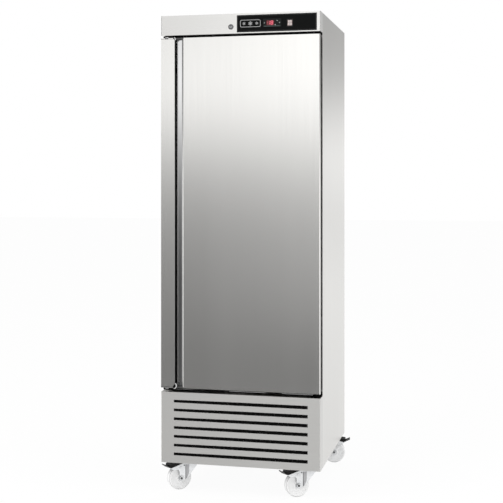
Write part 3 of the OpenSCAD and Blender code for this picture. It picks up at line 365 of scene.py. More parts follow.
# Which solids of the frame take which finish
NODE_FINISHES = {
    "door_steel": ["door_skin"],
    "grip_steel": ["grip_profile"],
    "header_steel": ["header_panel"],
    "grille_steel": ["grille_panel"],
    "side_steel": ["left_side_panel", "right_side_panel", "top_panel"],
    "plain_steel": ["shelf_pilasters", "shelf_slides"],
    "galvanised": ["back_panel", "base_plate", "condenser_shroud"],
    "zinc": ["castor_plates"] + [c + "_fork" for c in CASTORS],
    "chrome": ["lock_body", "lock_barrel"],
    "cap_grey": ["grip_caps"],
    "black_plastic": ["cable_gland"],
    "pedal_black": [c + "_pedal" for c in CASTORS],
    "frame_black": ["breaker_frame", "door_frame"],
    "matt_black": ["hinge_brackets"],
    "key_black": ["key_left", "key_up", "key_right", "key_down", "controller_module"],
    "white_plastic": ["hinge_bushes", "drip_tray", "drain_tube", "condensate_pan"],
    "box_grey": ["electrical_box"],
    "fan_plastic": ["evaporator_fan", "condenser_fan"],
    "rocker": ["power_switch"],
    "fascia": ["control_fascia"],
    "lens": ["display_lens"],
    "liner": ["cabin_liner", "door_liner", "evaporator_cover"],
    "wire": ["wire_shelves"],
    "motor": ["fan_motors"],
    "enamel": ["compressor"],
    "foam": ["cabinet_insulation", "door_core"],
    "gasket": ["door_gasket"],
    "filter": ["air_filter"],
    "nylon": [c + "_wheel" for c in CASTORS],
    "fins": ["evaporator_coil", "condenser_coil"],
    "copper": ["refrigerant_lines"],
}


def finish_nodes():
    """Gives each solid its material."""
    for finish, names in NODE_FINISHES.items():
        for name in names:
            slots = NODES[name].data.materials
            slots.clear()
            slots.append(MATERIALS[finish])


def shift(x=0, y=0, z=0):
    """The matrix of a move."""
    return Matrix.Translation((x * MM, y * MM, z * MM))


def axes(origin, x, y, z):
    """The matrix that takes local axes to the given directions at an origin."""
    return shift(*origin) @ Matrix([x, y, z]).transposed().to_4x4()


def on_front(x, z, y):
    """A drawing plane on the front: local x to the right, y up and z towards the viewer."""
    return axes((x, y, z), (1, 0, 0), (0, 0, 1), (0, -1, 0))


def add_ring(bm, points, place):
    """Vertices at points of a drawing plane."""
    return [bm.verts.new(place @ Vector((x * MM, y * MM, z * MM))) for x, y, z in points]


def join_rings(bm, first, second):
    """Faces between two rings with the same number of vertices."""
    for i in range(len(first)):
        j = (i + 1) % len(first)
        bm.faces.new((first[i], first[j], second[j], second[i]))


def join_round(bm, rings):
    """Faces between each ring and the next, and from the last to the first."""
    for first, second in zip(rings, rings[1:] + rings[:1]):
        join_rings(bm, first, second)


def add_prism(bm, outline, depth, place):
    """Closed prism over an outline, from local z = 0 to the depth."""
    floor, roof = (add_ring(bm, [(x, y, z) for x, y in outline], place) for z in (0, depth))
    bm.faces.new(floor)
    bm.faces.new(roof)
    join_rings(bm, floor, roof)


def add_band(bm, outer, inner, depth, place):
    """Closed band between two outlines with the same number of points."""
    edges = ((outer, 0), (outer, depth), (inner, depth), (inner, 0))
    join_round(bm, [add_ring(bm, [(x, y, z) for x, y in line], place) for line, z in edges])


def add_frame(bm, size, line, radii, depth, place):
    """Closed band of even width inside a rectangle, with its outer and inner corner radius."""
    outer, inner = (rounded(size[0] - 2 * t, size[1] - 2 * t, r) for t, r in zip((0, line), radii))
    add_band(bm, outer, inner, depth, place)


def add_lathe(bm, profile, place, steps=64):
    """Closed solid of revolution about local z, from a closed profile of (radius, height)."""
    turns = [2 * math.pi * k / steps for k in range(steps)]
    join_round(bm, [add_ring(bm, [(r * math.cos(a), r * math.sin(a), h) for r, h in profile], place)
                    for a in turns])


def add_ribbon(bm, line, width, depth, place):
    """Closed ribbon of even width along an open line, from local z = 0 to the depth."""
    points = [Vector(p) for p in line]
    last = len(points) - 1
    left, right = [], []
    for i, point in enumerate(points):
        along = (points[min(i + 1, last)] - points[max(i - 1, 0)]).normalized()
        across = Vector((-along.y, along.x)) * width / 2
        left.append(tuple(point + across))
        right.append(tuple(point - across))
    add_prism(bm, left + right[::-1], depth, place)


def arc(centre, radius, start, end, steps):
    """Points on an arc, in degrees."""
    angles = [math.radians(start + (end - start) * k / steps) for k in range(steps + 1)]
    return [(centre[0] + radius * math.cos(a), centre[1] + radius * math.sin(a)) for a in angles]


def bend(start, end, corner, steps=6):
    """Points of a soft curve between two points, pulled towards a corner."""
    points = []
    for k in range(steps + 1):
        t = k / steps
        points.append(tuple((1 - t) ** 2 * a + 2 * t * (1 - t) * c + t * t * b
                            for a, b, c in zip(start, end, corner)))
    return points


def rounded(width, height, radius, steps=5):
    """Outline of a rectangle with rounded corners, about its centre."""
    w, h = width / 2 - radius, height / 2 - radius
    corners = [((w, h), 0), ((-w, h), 90), ((-w, -h), 180), ((w, -h), 270)]
    return [p for centre, a in corners for p in arc(centre, radius, a, a + 90, steps)]


# Edges are rounded above this angle, to this profile
ROUNDING_ANGLE, ROUNDING_PROFILE = math.radians(30), 0.6


def round_edges(bm, width, segments):
    """Rounds every edge that is sharp enough."""
    bm.normal_update()
    edges = [e for e in bm.edges
             if len(e.link_faces) == 2 and e.calc_face_angle() > ROUNDING_ANGLE]
    bmesh.ops.bevel(bm, geom=edges, offset=width * MM, segments=segments, profile=ROUNDING_PROFILE,
                    affect="EDGES", clamp_overlap=True)


@contextmanager
def drawing(name, finish, body, slot, rounding=None, sharp=35):
    """Lends an empty mesh to draw in, then makes it into a piece that rides on a body.

    Its edges are rounded by a width in a number of segments and shaded sharp above an angle.
    """
    bm = bmesh.new()
    yield bm
    if rounding:
        round_edges(bm, *rounding)
    bmesh.ops.recalc_face_normals(bm, faces=bm.faces)
    mesh = bpy.data.meshes.new(name)
    bm.to_mesh(mesh)
    bm.free()
    mesh.shade_smooth()
    mesh.set_sharp_from_angle(angle=math.radians(sharp))
    mesh.materials.append(MATERIALS[finish])
    piece = bpy.data.objects.new(name, mesh)
    bpy.context.scene.collection.objects.link(piece)
    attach(piece, body)


# Thickness of the ink on the fascia, and of the digits and the marks on the controller
INK, MARK = 0.12, 0.1

# Fascia's border: inset, line, outer and inner corner radius. Badge: size, line, corner radii and
# place from the fascia's left end. Its crystals: place and size, and their line as a share of size
BORDER_INSET, BORDER_LINE, BORDER_RADII = 3.2, 0.8, (3, 2.2)
BADGE_SIZE, BADGE_LINE, BADGE_RADII, BADGE_X = (86, 30), 1.5, (6, 4.6), 57.5
CRYSTALS, CRYSTAL_LINE = ((-27, 7), (0, 10), (27, 7)), 0.055

# Crystal: number of arms and their angle, a branch's length and place as shares of the arm, and the
# distance of the arms' roots from the middle to half the line's width
ARMS, ARM_ANGLE, BRANCH, BRANCH_AT, ROOT = 6, 60, 0.3, 0.42, 1.732


def crystal(size, width):
    """Outline of a plain six-armed snow crystal, from its size and its line's half width."""
    lean = math.radians(ARM_ANGLE)
    base = 2 * width / math.sin(lean)
    start = BRANCH_AT * size
    tip_x, tip_y = math.cos(lean) * BRANCH * size, math.sin(lean) * BRANCH * size
    side = [(ROOT * width, width), (start, width), (start + tip_x, width + tip_y),
            (start + base + tip_x, width + tip_y), (start + base, width), (size - width, width)]
    arm = [(x, -y) for x, y in side] + [(size, 0)] + list(reversed(side[1:]))
    points = []
    for k in range(ARMS):
        a = math.radians(ARM_ANGLE * k + ARM_ANGLE / 2)
        points += [(x * math.cos(a) - y * math.sin(a), x * math.sin(a) + y * math.cos(a))
                   for x, y in arm]
    return points


def make_fascia_print():
    """Thin border line, and a plain badge outline with three snow crystals."""
    centre = (FASCIA_LO + FASCIA_HI) / 2
    plane = on_front(centre.x, centre.z, FASCIA_LO.y)
    size = [length - 2 * BORDER_INSET for length in (FASCIA_HI - FASCIA_LO).xz]
    with drawing("fascia_border", "ink_grey", "cabinet", "fascia") as bm:
        add_frame(bm, size, BORDER_LINE, BORDER_RADII, INK, plane)
    plane = on_front(FASCIA_LO.x + BADGE_X, centre.z, FASCIA_LO.y)
    with drawing("badge_print", "ink_white", "cabinet", "fascia") as bm:
        add_frame(bm, BADGE_SIZE, BADGE_LINE, BADGE_RADII, INK, plane)
        for x, arm in CRYSTALS:
            add_prism(bm, crystal(arm, CRYSTAL_LINE * arm), INK, plane @ shift(x))


# Display: bars of each character, its place from the window's middle and its width; the characters'
# height, bar, lean and gap as a share of the bar; size, radius and thickness of the glow under them
SEGMENTS = {"-": "g", "1": "bc", "8": "abcdefg"}
CHARACTERS = (("-", -12.2, 5.0), ("1", -4.4, 8.0), ("8", 6.6, 10.0))
DIGIT_H, DIGIT_BAR, DIGIT_LEAN, DIGIT_GAP = 17.5, 2.7, 0.12, 0.12
GLOW, GLOW_T = (31, 20, 3), 0.05

# Controller: height, line, corner radii and thickness of its bezel, and inset, height, radius and
# drop of its lower strip
BEZEL_H, BEZEL_LINE, BEZEL_RADII, BEZEL_T = 34, 1.5, (2, 1.6), 0.9
STRIP_INSET, STRIP_H, STRIP_R, STRIP_DROP = 4, 2.2, 1, 13.6


def add_digit(bm, character, width, height, bar, place):
    """One seven-segment character, drawn about its centre and leaning a little."""
    w, h = width / 2 - bar / 2, height / 2 - bar / 2
    bars = {"a": ((-w, h), (w, h)), "b": ((w, h), (w, 0)), "c": ((w, 0), (w, -h)),
            "d": ((-w, -h), (w, -h)), "e": ((-w, 0), (-w, -h)), "f": ((-w, h), (-w, 0)),
            "g": ((-w, 0), (w, 0))}
    for name in SEGMENTS[character]:
        start, end = (Vector(p) for p in bars[name])
        along = (end - start).normalized()
        across = Vector((-along.y, along.x)) * bar / 2
        a, b = start + along * DIGIT_GAP * bar, end - along * DIGIT_GAP * bar
        tip = along * bar / 2
        outline = [a, a + tip + across, b - tip + across, b, b - tip - across, a + tip - across]
        add_prism(bm, [(p.x + DIGIT_LEAN * p.y, p.y) for p in outline], MARK, place)


def make_display():
    """Red digits on the window, and the bezel and lower strip of the controller."""
    centre = (LENS_LO + LENS_HI) / 2
    with drawing("display_digits", "digits", "cabinet", "display") as bm:
        for character, x, width in CHARACTERS:
            place = on_front(centre.x + x, centre.z, LENS_LO.y - GLOW_T)
            add_digit(bm, character, width, DIGIT_H, DIGIT_BAR, place)
    with drawing("display_glow", "digit_glow", "cabinet", "display") as bm:
        add_prism(bm, rounded(*GLOW), GLOW_T, on_front(centre.x, centre.z, LENS_LO.y))

    centre = (CONTROL_LO + CONTROL_HI) / 2
    width = CONTROL_HI.x - CONTROL_LO.x
    plane = on_front(centre.x, centre.z, CONTROL_LO.y)
    name = "controller_bezel"
    with drawing(name, "key_black", "cabinet", "black_plastic", rounding=(0.25, 2)) as bm:
        add_frame(bm, (width, BEZEL_H), BEZEL_LINE, BEZEL_RADII, BEZEL_T, plane)
    with drawing("controller_strip", "ink_green", "cabinet", "black_plastic") as bm:
        add_prism(bm, rounded(width - 2 * STRIP_INSET, STRIP_H, STRIP_R), MARK,
                  plane @ shift(y=-STRIP_DROP))


# Mark on each key, about its middle
KEY_MARKS = {
    "key_left": [(-0.8, -2.2), (1.2, -2.2), (1.2, 2.2), (-0.8, 2.2)],
    "key_up": [(-2.8, -1.8), (2.8, -1.8), (0, 2.0)],
    "key_right": [(-1.8, -2.1), (2.2, 0), (-1.8, 2.1)],
    "key_down": [(-2.8, 1.8), (0, -2.0), (2.8, 1.8)],
}


def make_key_marks():
    """A plain bar or triangle on each key."""
    for key, outline in KEY_MARKS.items():
        lo, hi = box(key)
        with drawing(key + "_mark", "mark_green", key, "keys") as bm:
            add_prism(bm, outline, MARK, on_front((lo.x + hi.x) / 2, (lo.z + hi.z) / 2, lo.y))


# Lock: profiles turned about its axis, as (radius, height), how far the barrel's face and keyway
# stand out of the front, and the keyway's size with its corner radius, and its thickness. The dark
# ring round the collar, the black groove and the black keyway are painted shade
SHADE_RING = [(10.1, 0), (11.6, 0), (11.5, 0.7), (10.8, 1.1), (10.1, 1.1)]
COLLAR = [(7.9, 0), (10.5, 0), (10.5, 0.3), (10.0, 0.9), (8.6, 1.1), (7.9, 0.7)]
GROOVE = [(6.1, 0), (7.9, 0), (7.9, 0.25), (6.1, 0.25)]
BARREL_FACE = [(2.1, 0), (5.9, 0), (5.9, 0.5), (5.4, 0.9), (2.6, 0.9), (2.1, 0.6)]
BARREL_OUT, KEYWAY_OUT, KEYWAY, KEYWAY_T = 2, 2.85, (1.8, 8.2, 0.7), 0.15


def make_lock_face():
    """Collar round the barrel with a dark ring outside it and a black groove inside it, and the
    barrel's face with a black keyway; the ring, the groove, the keyway and the collar's darker
    chrome are painted shade.
    """
    x, z = (LOCK_LO.x + LOCK_HI.x) / 2, (LOCK_LO.z + LOCK_HI.z) / 2
    for name, profile, finish, body, slot, y in (
            ("lock_shade_ring", SHADE_RING, "matt_black", "cabinet", "black_plastic", FRONT_Y),
            ("lock_collar", COLLAR, "lock_chrome", "cabinet", "chrome", LOCK_LO.y),
            ("lock_groove", GROOVE, "matt_black", "cabinet", "black_plastic", LOCK_LO.y),
            ("lock_face", BARREL_FACE, "chrome", "lock_barrel", "chrome", FRONT_Y - BARREL_OUT)):
        with drawing(name, finish, body, slot) as bm:
            add_lathe(bm, profile, on_front(x, z, y))
    with drawing("lock_keyway", "matt_black", "lock_barrel", "black_plastic") as bm:
        add_prism(bm, rounded(*KEYWAY), KEYWAY_T, on_front(x, z, FRONT_Y - KEYWAY_OUT))


# Rocker: pivot behind the front, tilt, and the two faces that lean out from the middle
ROCKER_PIVOT, ROCKER_TILT, ROCKER_LIP, ROCKER_HALF = 5, math.radians(7), 2, 11
# Its pads: columns, first row from the middle, pitch, rows on each half, size with corner radius,
# thickness and how deep they sit; and the frame round it
PAD_COLUMNS, PAD_START, PAD_PITCH, PAD_ROWS = (-4.6, 4.6), 2.4, 3.5, 3
PAD, PAD_T, PAD_SUNK = (7.4, 2.5, 0.6), 0.3, 0.02
SURROUND_SIZE, SURROUND_LINE, SURROUND_RADII, SURROUND_T = (27.5, 34.5), 3.45, (2.5, 1), 0.7


def make_rocker_pads():
    """Raised pads in two columns on both halves of the rocker, and the frame round it."""
    middle = (SWITCH_LO + SWITCH_HI) / 2
    pivot = shift(middle.x, FRONT_Y + ROCKER_PIVOT, middle.z)
    tilted = pivot @ Matrix.Rotation(-ROCKER_TILT, 4, "X") @ shift(y=-ROCKER_PIVOT)
    lean = math.atan2(ROCKER_LIP, ROCKER_HALF)
    with drawing("rocker_pads", "rocker_pad", "power_switch", "rocker", rounding=(0.08, 1)) as bm:
        for half in (1, -1):
            face = tilted @ Matrix.Rotation(half * lean, 4, "X")
            for row in range(PAD_ROWS):
                for x in PAD_COLUMNS:
                    place = on_front(x, half * (PAD_START + PAD_PITCH * row), PAD_SUNK)
                    add_prism(bm, rounded(*PAD, steps=3), PAD_T, face @ place)
    with drawing("rocker_frame", "key_black", "cabinet", "black_plastic", rounding=(0.25, 2)) as bm:
        add_frame(bm, SURROUND_SIZE, SURROUND_LINE, SURROUND_RADII, SURROUND_T,
                  on_front(middle.x, middle.z, FASCIA_LO.y))


# Grip: widths of its strip and groove, the groove's depth, the door edge's radius and the sheet
STRIP_W, GROOVE_W, GROOVE_D, EDGE_R, GRIP_T = 59, 34.5, 25, 5, 1.5
STRIP_X = GRIP_LO.x + STRIP_W
# Its linings stop short of its ends. The trough's insert, darkened as painted shade, starts beside
# the strip and bends up to the door. The undercut's black lining, painted shade of its pocket,
# starts behind the front, cuts a corner and ends past the strip.
LINING_END = 0.5
TROUGH_START, TROUGH_T, TROUGH_BEND, TROUGH_PLAY, TROUGH_TOP = 2.3, 0.6, 10, 0.1, 1
UNDERCUT_FRONT, UNDERCUT_END, UNDERCUT_T, UNDERCUT_CORNER, UNDERCUT_PLAY = 8, 2.7, 0.6, 3, 0.1


def make_grip_linings():
    """Satin insert that hollows the groove, darkened as painted shade, and black painted shade
    inside the undercut.
    """
    length = GRIP_HI.z - GRIP_LO.z - 2 * LINING_END
    upright = shift(z=GRIP_LO.z + LINING_END)
    left, right = STRIP_X + TROUGH_START, STRIP_X + GROOVE_W - TROUGH_PLAY
    under, top = FRONT_Y + GROOVE_D - TROUGH_PLAY / 2, FRONT_Y + EDGE_R + TROUGH_TOP
    inner_x, inner_y = right - TROUGH_T, FRONT_Y + GROOVE_D - TROUGH_T
    bend_x, bend_y = right - TROUGH_BEND, FRONT_Y + GROOVE_D - TROUGH_BEND
    outline = [(left, under), (left, inner_y)]
    outline += bend((bend_x, inner_y), (inner_x, bend_y), (inner_x, inner_y))
    outline += [(inner_x, top), (right, top), (right, under)]
    with drawing("grip_trough", "trough_painted_shade_steel", "door", "brushed_steel", sharp=50) as bm:
        add_prism(bm, outline, length, upright)

    side, start = GRIP_LO.x + GRIP_T + UNDERCUT_PLAY, FRONT_Y + UNDERCUT_FRONT
    back = GRIP_HI.y - GRIP_T - UNDERCUT_PLAY
    wall, floor, end = side + UNDERCUT_T, back - UNDERCUT_T, STRIP_X + UNDERCUT_END
    corner_y = back + UNDERCUT_PLAY - UNDERCUT_CORNER
    outline = [(side, start), (side, back), (end, back), (end, floor),
               (side + UNDERCUT_CORNER, floor), (wall, corner_y), (wall, start)]
    # Black sheet inside the undercut: painted shade
    with drawing("undercut_painted_shade", "matt_black", "door", "black_plastic") as bm:
        add_prism(bm, outline, length, upright)


# Ends of the grip, from the strip's edge and the door's end: the strip's cut corner, the lip round
# it, the steel facings on the cap, the plug that closes the profile and the catch on the plug. The
# lip and the catch are pale grey as a painted highlight
CORNER_CUT = [(-5.0, -0.2), (-5.4, 4.0), (-4.6, 9.0), (-2.4, 13.5), (0.3, 15.5), (0.3, -0.2)]
LIP_LINE = [(3.6, 18.5), (6.4, 15.5), (8.0, 9.5), (7.4, 4.5), (4.8, 0.6), (0.6, -1.8), (-3.6, -2.6)]
LIP_W, LIP_DEPTH, LIP_OUT = 3.0, 4, 1
END_SCALE = {"lower": 1.0, "upper": 0.45}
CORNER_IN, CORNER_LIFT = 0.4, 0.05
FACING_SPANS, FACING_H, FACING_T = ((-57, -41), (-26, -5.2)), (0.1, 3.9), 0.2
PLUG_SPAN, PLUG_DROP, PLUG_DEPTH, PLUG_IN, PLUG_R, PLUG_TOP = (-49, -2), 9, 26, 1, 4, 0.2
CATCH_AT, CATCH, CATCH_T = (-33.5, -1.8), (14, 3.2, 1.2), 1


def make_grip_ends():
    """Steel facing on each end cap, the strip's cut corner, the lip round it with a painted
    highlight, the plug and its catch with a painted highlight.
    """
    for end, z, up in (("lower", CAP_LO.z, 1), ("upper", CAP_HI.z, -1)):
        def plane(y):
            return axes((STRIP_X, y, z), (1, 0, 0), (0, 0, up), (0, -1, 0))

        def sized(points):
            return [(x * END_SCALE[end], v * END_SCALE[end]) for x, v in points]

        with drawing("grip_end_facing_" + end, "grip_steel", "door", "brushed_steel") as bm:
            low, high = FACING_H
            for x0, x1 in FACING_SPANS:
                facing = [(x0, low), (x1, low), (x1, high), (x0, high)]
                add_prism(bm, facing, FACING_T, plane(CAP_LO.y))
        with drawing("grip_corner_" + end, "matt_black", "door", "black_plastic") as bm:
            add_prism(bm, sized(CORNER_CUT), FRONT_Y + CORNER_IN - CAP_LO.y,
                      plane(FRONT_Y + CORNER_LIFT))
        with drawing("grip_lip_" + end, "painted_highlight_grey", "door", "cap_metal", rounding=(0.2, 1)) as bm:
            add_ribbon(bm, sized(LIP_LINE), LIP_W, LIP_DEPTH, plane(FRONT_Y + LIP_DEPTH - LIP_OUT))
        (left, right), foot = PLUG_SPAN, PLUG_R - PLUG_DROP
        outline = arc((left + PLUG_R, foot), PLUG_R, 180, 270, 5)
        outline += arc((right - PLUG_R, foot), PLUG_R, 270, 360, 5)
        outline += [(right, PLUG_TOP), (left, PLUG_TOP)]
        name = "grip_plug_" + end
        with drawing(name, "matt_black", "door", "black_plastic", rounding=(0.6, 2)) as bm:
            add_prism(bm, outline, PLUG_DEPTH, plane(FRONT_Y + PLUG_DEPTH + PLUG_IN))
        name = "grip_plug_catch_" + end
        with drawing(name, "painted_highlight_grey", "door", "cap_metal", rounding=(0.3, 1)) as bm:
            add_prism(bm, rounded(*CATCH), CATCH_T, plane(FRONT_Y + PLUG_IN) @ shift(*CATCH_AT))


# Grille's slots: how many, length, height, pitch and height of the lowest above the panel's edge.
# Painted shade round them: reach above and below at the left, in the middle and at the right, reach
# past the right end, and thickness
SLOT_COUNT, SLOT_W, SLOT_H, SLOT_PITCH, SLOT_LOW = 7, 568, 11, 37, 38
EDGE_ABOVE, EDGE_BELOW, EDGE_END, EDGE_T = (0.1, 1.2, 0.6), (0.1, 1.5, 2.4), 3.5, 0.15


def make_slot_shade():
    """Painted shade round each slot of the grille, wider below and towards the right."""
    w, h = SLOT_W / 2, SLOT_H / 2
    places = (-w, 0, w + EDGE_END)
    outline = [(-w, h), (w, h), (w, -h), (-w, -h)]
    outline += [(x, -h - past) for x, past in zip(places, EDGE_BELOW)]
    outline += [(x, h + past) for x, past in zip(places[::-1], EDGE_ABOVE[::-1])]
    middle = (GRILLE_LO.x + GRILLE_HI.x) / 2
    with drawing("grille_slot_shade", "matt_black", "cabinet", "black_plastic") as bm:
        for k in range(SLOT_COUNT):
            z = GRILLE_LO.z + SLOT_LOW + k * SLOT_PITCH
            add_prism(bm, outline, EDGE_T, on_front(middle, z, GRILLE_LO.y))


# Door: start and thickness of the black sheet behind the front at the hinge side, painted shade of
# the gap beside the door, and the pan's folded return with its distance from the pan's and the
# frame's edges
GAP_SHADE_START, GAP_SHADE_T = 7, 0.5
RETURN_EDGE, RETURN_T = 0.2, 0.8


def make_door_gap_shade():
    """Black sheet down the hinge side of the door, between the steel's fold and the frame: painted
    shade of the gap beside the door.
    """
    start, inner, outer = FRONT_Y + GAP_SHADE_START, PAN_HI.x, PAN_HI.x + GAP_SHADE_T
    outline = [(inner, start), (outer, start + GAP_SHADE_T), (outer, PAN_HI.y), (inner, PAN_HI.y)]
    with drawing("door_gap_shade", "matt_black", "door", "black_plastic") as bm:
        add_prism(bm, outline, PAN_HI.z - PAN_LO.z, shift(z=PAN_LO.z))


def make_door_returns():
    """The pan's folded return, from its rim to the black frame, over the back of the foam."""
    frame_lo, frame_hi = box("door_frame")
    left, inner, right = PAN_LO.x, frame_hi.x - RETURN_EDGE, PAN_HI.x - RETURN_EDGE
    low, top = PAN_LO.z + RETURN_EDGE, PAN_HI.z - RETURN_EDGE
    inner_low, inner_top = frame_lo.z + RETURN_EDGE, frame_hi.z - RETURN_EDGE
    outline = [(left, low), (right, low), (right, top), (left, top), (left, inner_top),
               (inner, inner_top), (inner, inner_low), (left, inner_low)]
    with drawing("door_returns", "door_steel", "door", "brushed_steel", rounding=(0.2, 1)) as bm:
        add_prism(bm, outline, RETURN_T, on_front(0, 0, PAN_HI.y + RETURN_T))


# Keeper slot in the door's top for the lock's cam: across from the lock, back from the front, deep.
# Its pocket: play in the slot, wall, and the flange's reach and thickness
KEEPER_X, KEEPER_Y, KEEPER_DEPTH = (-9, 41.6), (20.5, 27.5), 14
POCKET_PLAY, POCKET_WALL, FLANGE, FLANGE_T = 0.05, 0.6, 1.8, 0.5


def make_keeper_pocket():
    """Black moulded pocket that lines the keeper slot, with a thin flange on the door's top."""
    lock_x = (LOCK_LO.x + LOCK_HI.x) / 2

    def outline(grow):
        x0, x1 = lock_x + KEEPER_X[0] - grow, lock_x + KEEPER_X[1] + grow
        y0, y1 = FRONT_Y + KEEPER_Y[0] - grow, FRONT_Y + KEEPER_Y[1] + grow
        return [(x0, y0), (x1, y0), (x1, y1), (x0, y1)]

    outside, inside = outline(-POCKET_PLAY), outline(-POCKET_PLAY - POCKET_WALL)
    bottom, top = shift(z=PAN_HI.z - KEEPER_DEPTH), shift(z=PAN_HI.z)
    with drawing("keeper_pocket", "black_plastic", "door", "black_plastic") as bm:
        add_prism(bm, outside, POCKET_WALL, bottom)
        add_band(bm, outside, inside, KEEPER_DEPTH, bottom)
        add_band(bm, outline(FLANGE), inside, FLANGE_T, top)


# Pedal in the castor's plane: corners and half width of the metal cover on its tab, and the ribs of
# its tread: places, size with corner radius, foot and height
TAB_COVER = [(83.6, 97.0), (107.9, 107.6), (107.4, 110.4), (105.6, 111.2), (85.0, 102.2),
             (83.4, 100.2)]
TAB_HALF = 15.8
RIB_PLACES, RIB, RIB_FOOT, RIB_H = (42, 48, 54, 60, 66), (2.4, 34, 1), 113.4, 1.3

# Fork's side in the castor's plane: the hollow behind the crease and its darkest edge along the
# crease, both painted shade, and how far the wing stands from the middle
HOLLOW_SHADE = [(14.6, 104.0), (14.6, 47.0), (7.0, 46.0), (-3.0, 66.0), (-4.0, 104.0)]
CREASE_SHADE = [(14.6, 103.0), (14.6, 44.0), (10.6, 43.5), (11.6, 103.0)]
HOLLOW_T, CREASE_T, WING_OUT = 0.25, 0.45, 19.8

# Axle: its place in the castor's plane, how far the bolt's head stands from the middle, the nut's
# profile, and the painted shade on the wheel's tread edge, set out from its radius and half its
# tread
AXLE_U, AXLE_Z, BOLT_OUT = 34.0, 50.0, 27.0
NUT = [(0.3, 0), (4.8, 0), (4.8, 1.6), (4.2, 2.2), (2.6, 2.2), (2.4, 1.4), (0.3, 1.4)]
WHEEL_R, TREAD_HALF = 50.0, 12.5
TREAD_EDGE_SHADE = [(-0.4, -3), (0.02, -3), (0.02, -1), (-0.3, 0.6), (-1.2, 0.2)]


def castor_axes(name):
    """Matrices at a castor's kingpin: one drawn on its side plane, one drawn on the floor plan."""
    x, y = (metres / MM for metres in JOINTS[name + "_swivel"]["pos_m"][:2])
    left = Vector(JOINTS[name + "_roll"]["axis"])
    along = (left.y, -left.x, 0)
    return axes((x, y, 0), along, (0, 0, 1), -left), axes((x, y, 0), along, left, (0, 0, 1))


def make_pedal_trim():
    """Metal cover on each pedal's tab and raised ribs on its tread."""
    for name in CASTORS:
        side, plan = castor_axes(name)
        pedal = name + "_pedal"
        with drawing(pedal + "_cover", "zinc_dark", pedal, "zinc", rounding=(0.5, 2)) as bm:
            add_prism(bm, TAB_COVER, 2 * TAB_HALF, side @ shift(z=-TAB_HALF))
        ribs = pedal + "_ribs"
        with drawing(ribs, "black_plastic", pedal, "black_plastic", rounding=(0.3, 2)) as bm:
            for u in RIB_PLACES:
                rib = [(u + x, y) for x, y in rounded(*RIB, steps=3)]
                add_prism(bm, rib, RIB_H, plan @ shift(z=RIB_FOOT))


def make_castor_trim():
    """Painted shade on the hollow behind each fork's crease and darker along the crease, lock nuts
    on the axle, and painted shade on the wheel's tread edges.
    """
    for name in CASTORS:
        side, _ = castor_axes(name)
        castor = name + "_castor"
        # Darker zinc sheets on both wings: painted shade of the hollow and of the crease
        for part, outline, finish, depth in (("_fork_hollow_shade", HOLLOW_SHADE, "zinc_painted_shade", HOLLOW_T),
                                             ("_fork_crease_shade", CREASE_SHADE, "zinc_dark", CREASE_T)):
            with drawing(name + part, finish, castor, "zinc") as bm:
                for out in (WING_OUT, -WING_OUT - depth):
                    add_prism(bm, outline, depth, side @ shift(z=out))
        with drawing(name + "_axle_nuts", "zinc_dark", castor, "zinc") as bm:
            for sign in (1, -1):
                add_lathe(bm, [(r, sign * h) for r, h in NUT],
                          side @ shift(AXLE_U, AXLE_Z, sign * BOLT_OUT), steps=24)
        # Grey rings at the tread's edges: painted shade
        with drawing(name + "_tread_edge_shade", "nylon_edge_shade", name + "_wheel", "nylon") as bm:
            for sign in (1, -1):
                ring = [(WHEEL_R + r, sign * (TREAD_HALF + h)) for r, h in TREAD_EDGE_SHADE]
                add_lathe(bm, ring, side @ shift(AXLE_U, AXLE_Z), steps=96)


# Screws: profile of the pan head, its steps round, its distance from the evaporator cover's and the
# back sheet's edges, and how many go down each side of the back
SCREW_HEAD = [(0.3, 0), (4.2, 0), (4.2, 0.5), (3.7, 1.4), (2.6, 2.0), (1.3, 2.2), (1.1, 1.2),
              (0.3, 1.2)]
SCREW_STEPS, COVER_INSET, BACK_INSET, BACK_ROWS = 20, 16, 14, 7
# Folded rim at the bottom of the evaporator cover's face
RIM_EDGE, RIM_H, RIM_R, RIM_T = 1, 5, 1, 1.2


def make_cover_screws():
    """Screws that hold the evaporator cover, and the folded rim at the bottom of its face."""
    lo, hi = box("evaporator_cover")
    with drawing("evaporator_cover_screws", "chrome", "cabinet", "zinc") as bm:
        for x in (lo.x + COVER_INSET, 0, hi.x - COVER_INSET):
            for z in (lo.z + COVER_INSET, hi.z - COVER_INSET):
                add_lathe(bm, SCREW_HEAD, on_front(x, z, lo.y), SCREW_STEPS)
    with drawing("evaporator_cover_rim", "liner", "cabinet", "liner", rounding=(0.4, 2)) as bm:
        add_prism(bm, rounded(hi.x - lo.x - 2 * RIM_EDGE, RIM_H, RIM_R), RIM_T,
                  on_front((lo.x + hi.x) / 2, lo.z + RIM_H / 2 + RIM_EDGE, lo.y))


def make_back_screws():
    """Pan-head screws round the edge of the back sheet."""
    left, right = BACK_LO.x + BACK_INSET, BACK_HI.x - BACK_INSET
    low, high = BACK_LO.z + BACK_INSET, BACK_HI.z - BACK_INSET
    places = [(x, low + (high - low) * k / (BACK_ROWS - 1))
              for x in (left, right) for k in range(BACK_ROWS)]
    places += [(x / 3, z) for x in (left, right) for z in (low, high)]
    with drawing("back_screws", "zinc", "cabinet", "zinc") as bm:
        for x, z in places:
            place = axes((x, BACK_HI.y, z), (-1, 0, 0), (0, 0, 1), (0, 1, 0))
            add_lathe(bm, SCREW_HEAD, place, SCREW_STEPS)


# Floor: size in metres, grey, and how white the camera sees it
FLOOR_SIZE, FLOOR_GREY, FLOOR_WHITE = 60, 0.95, 0.93


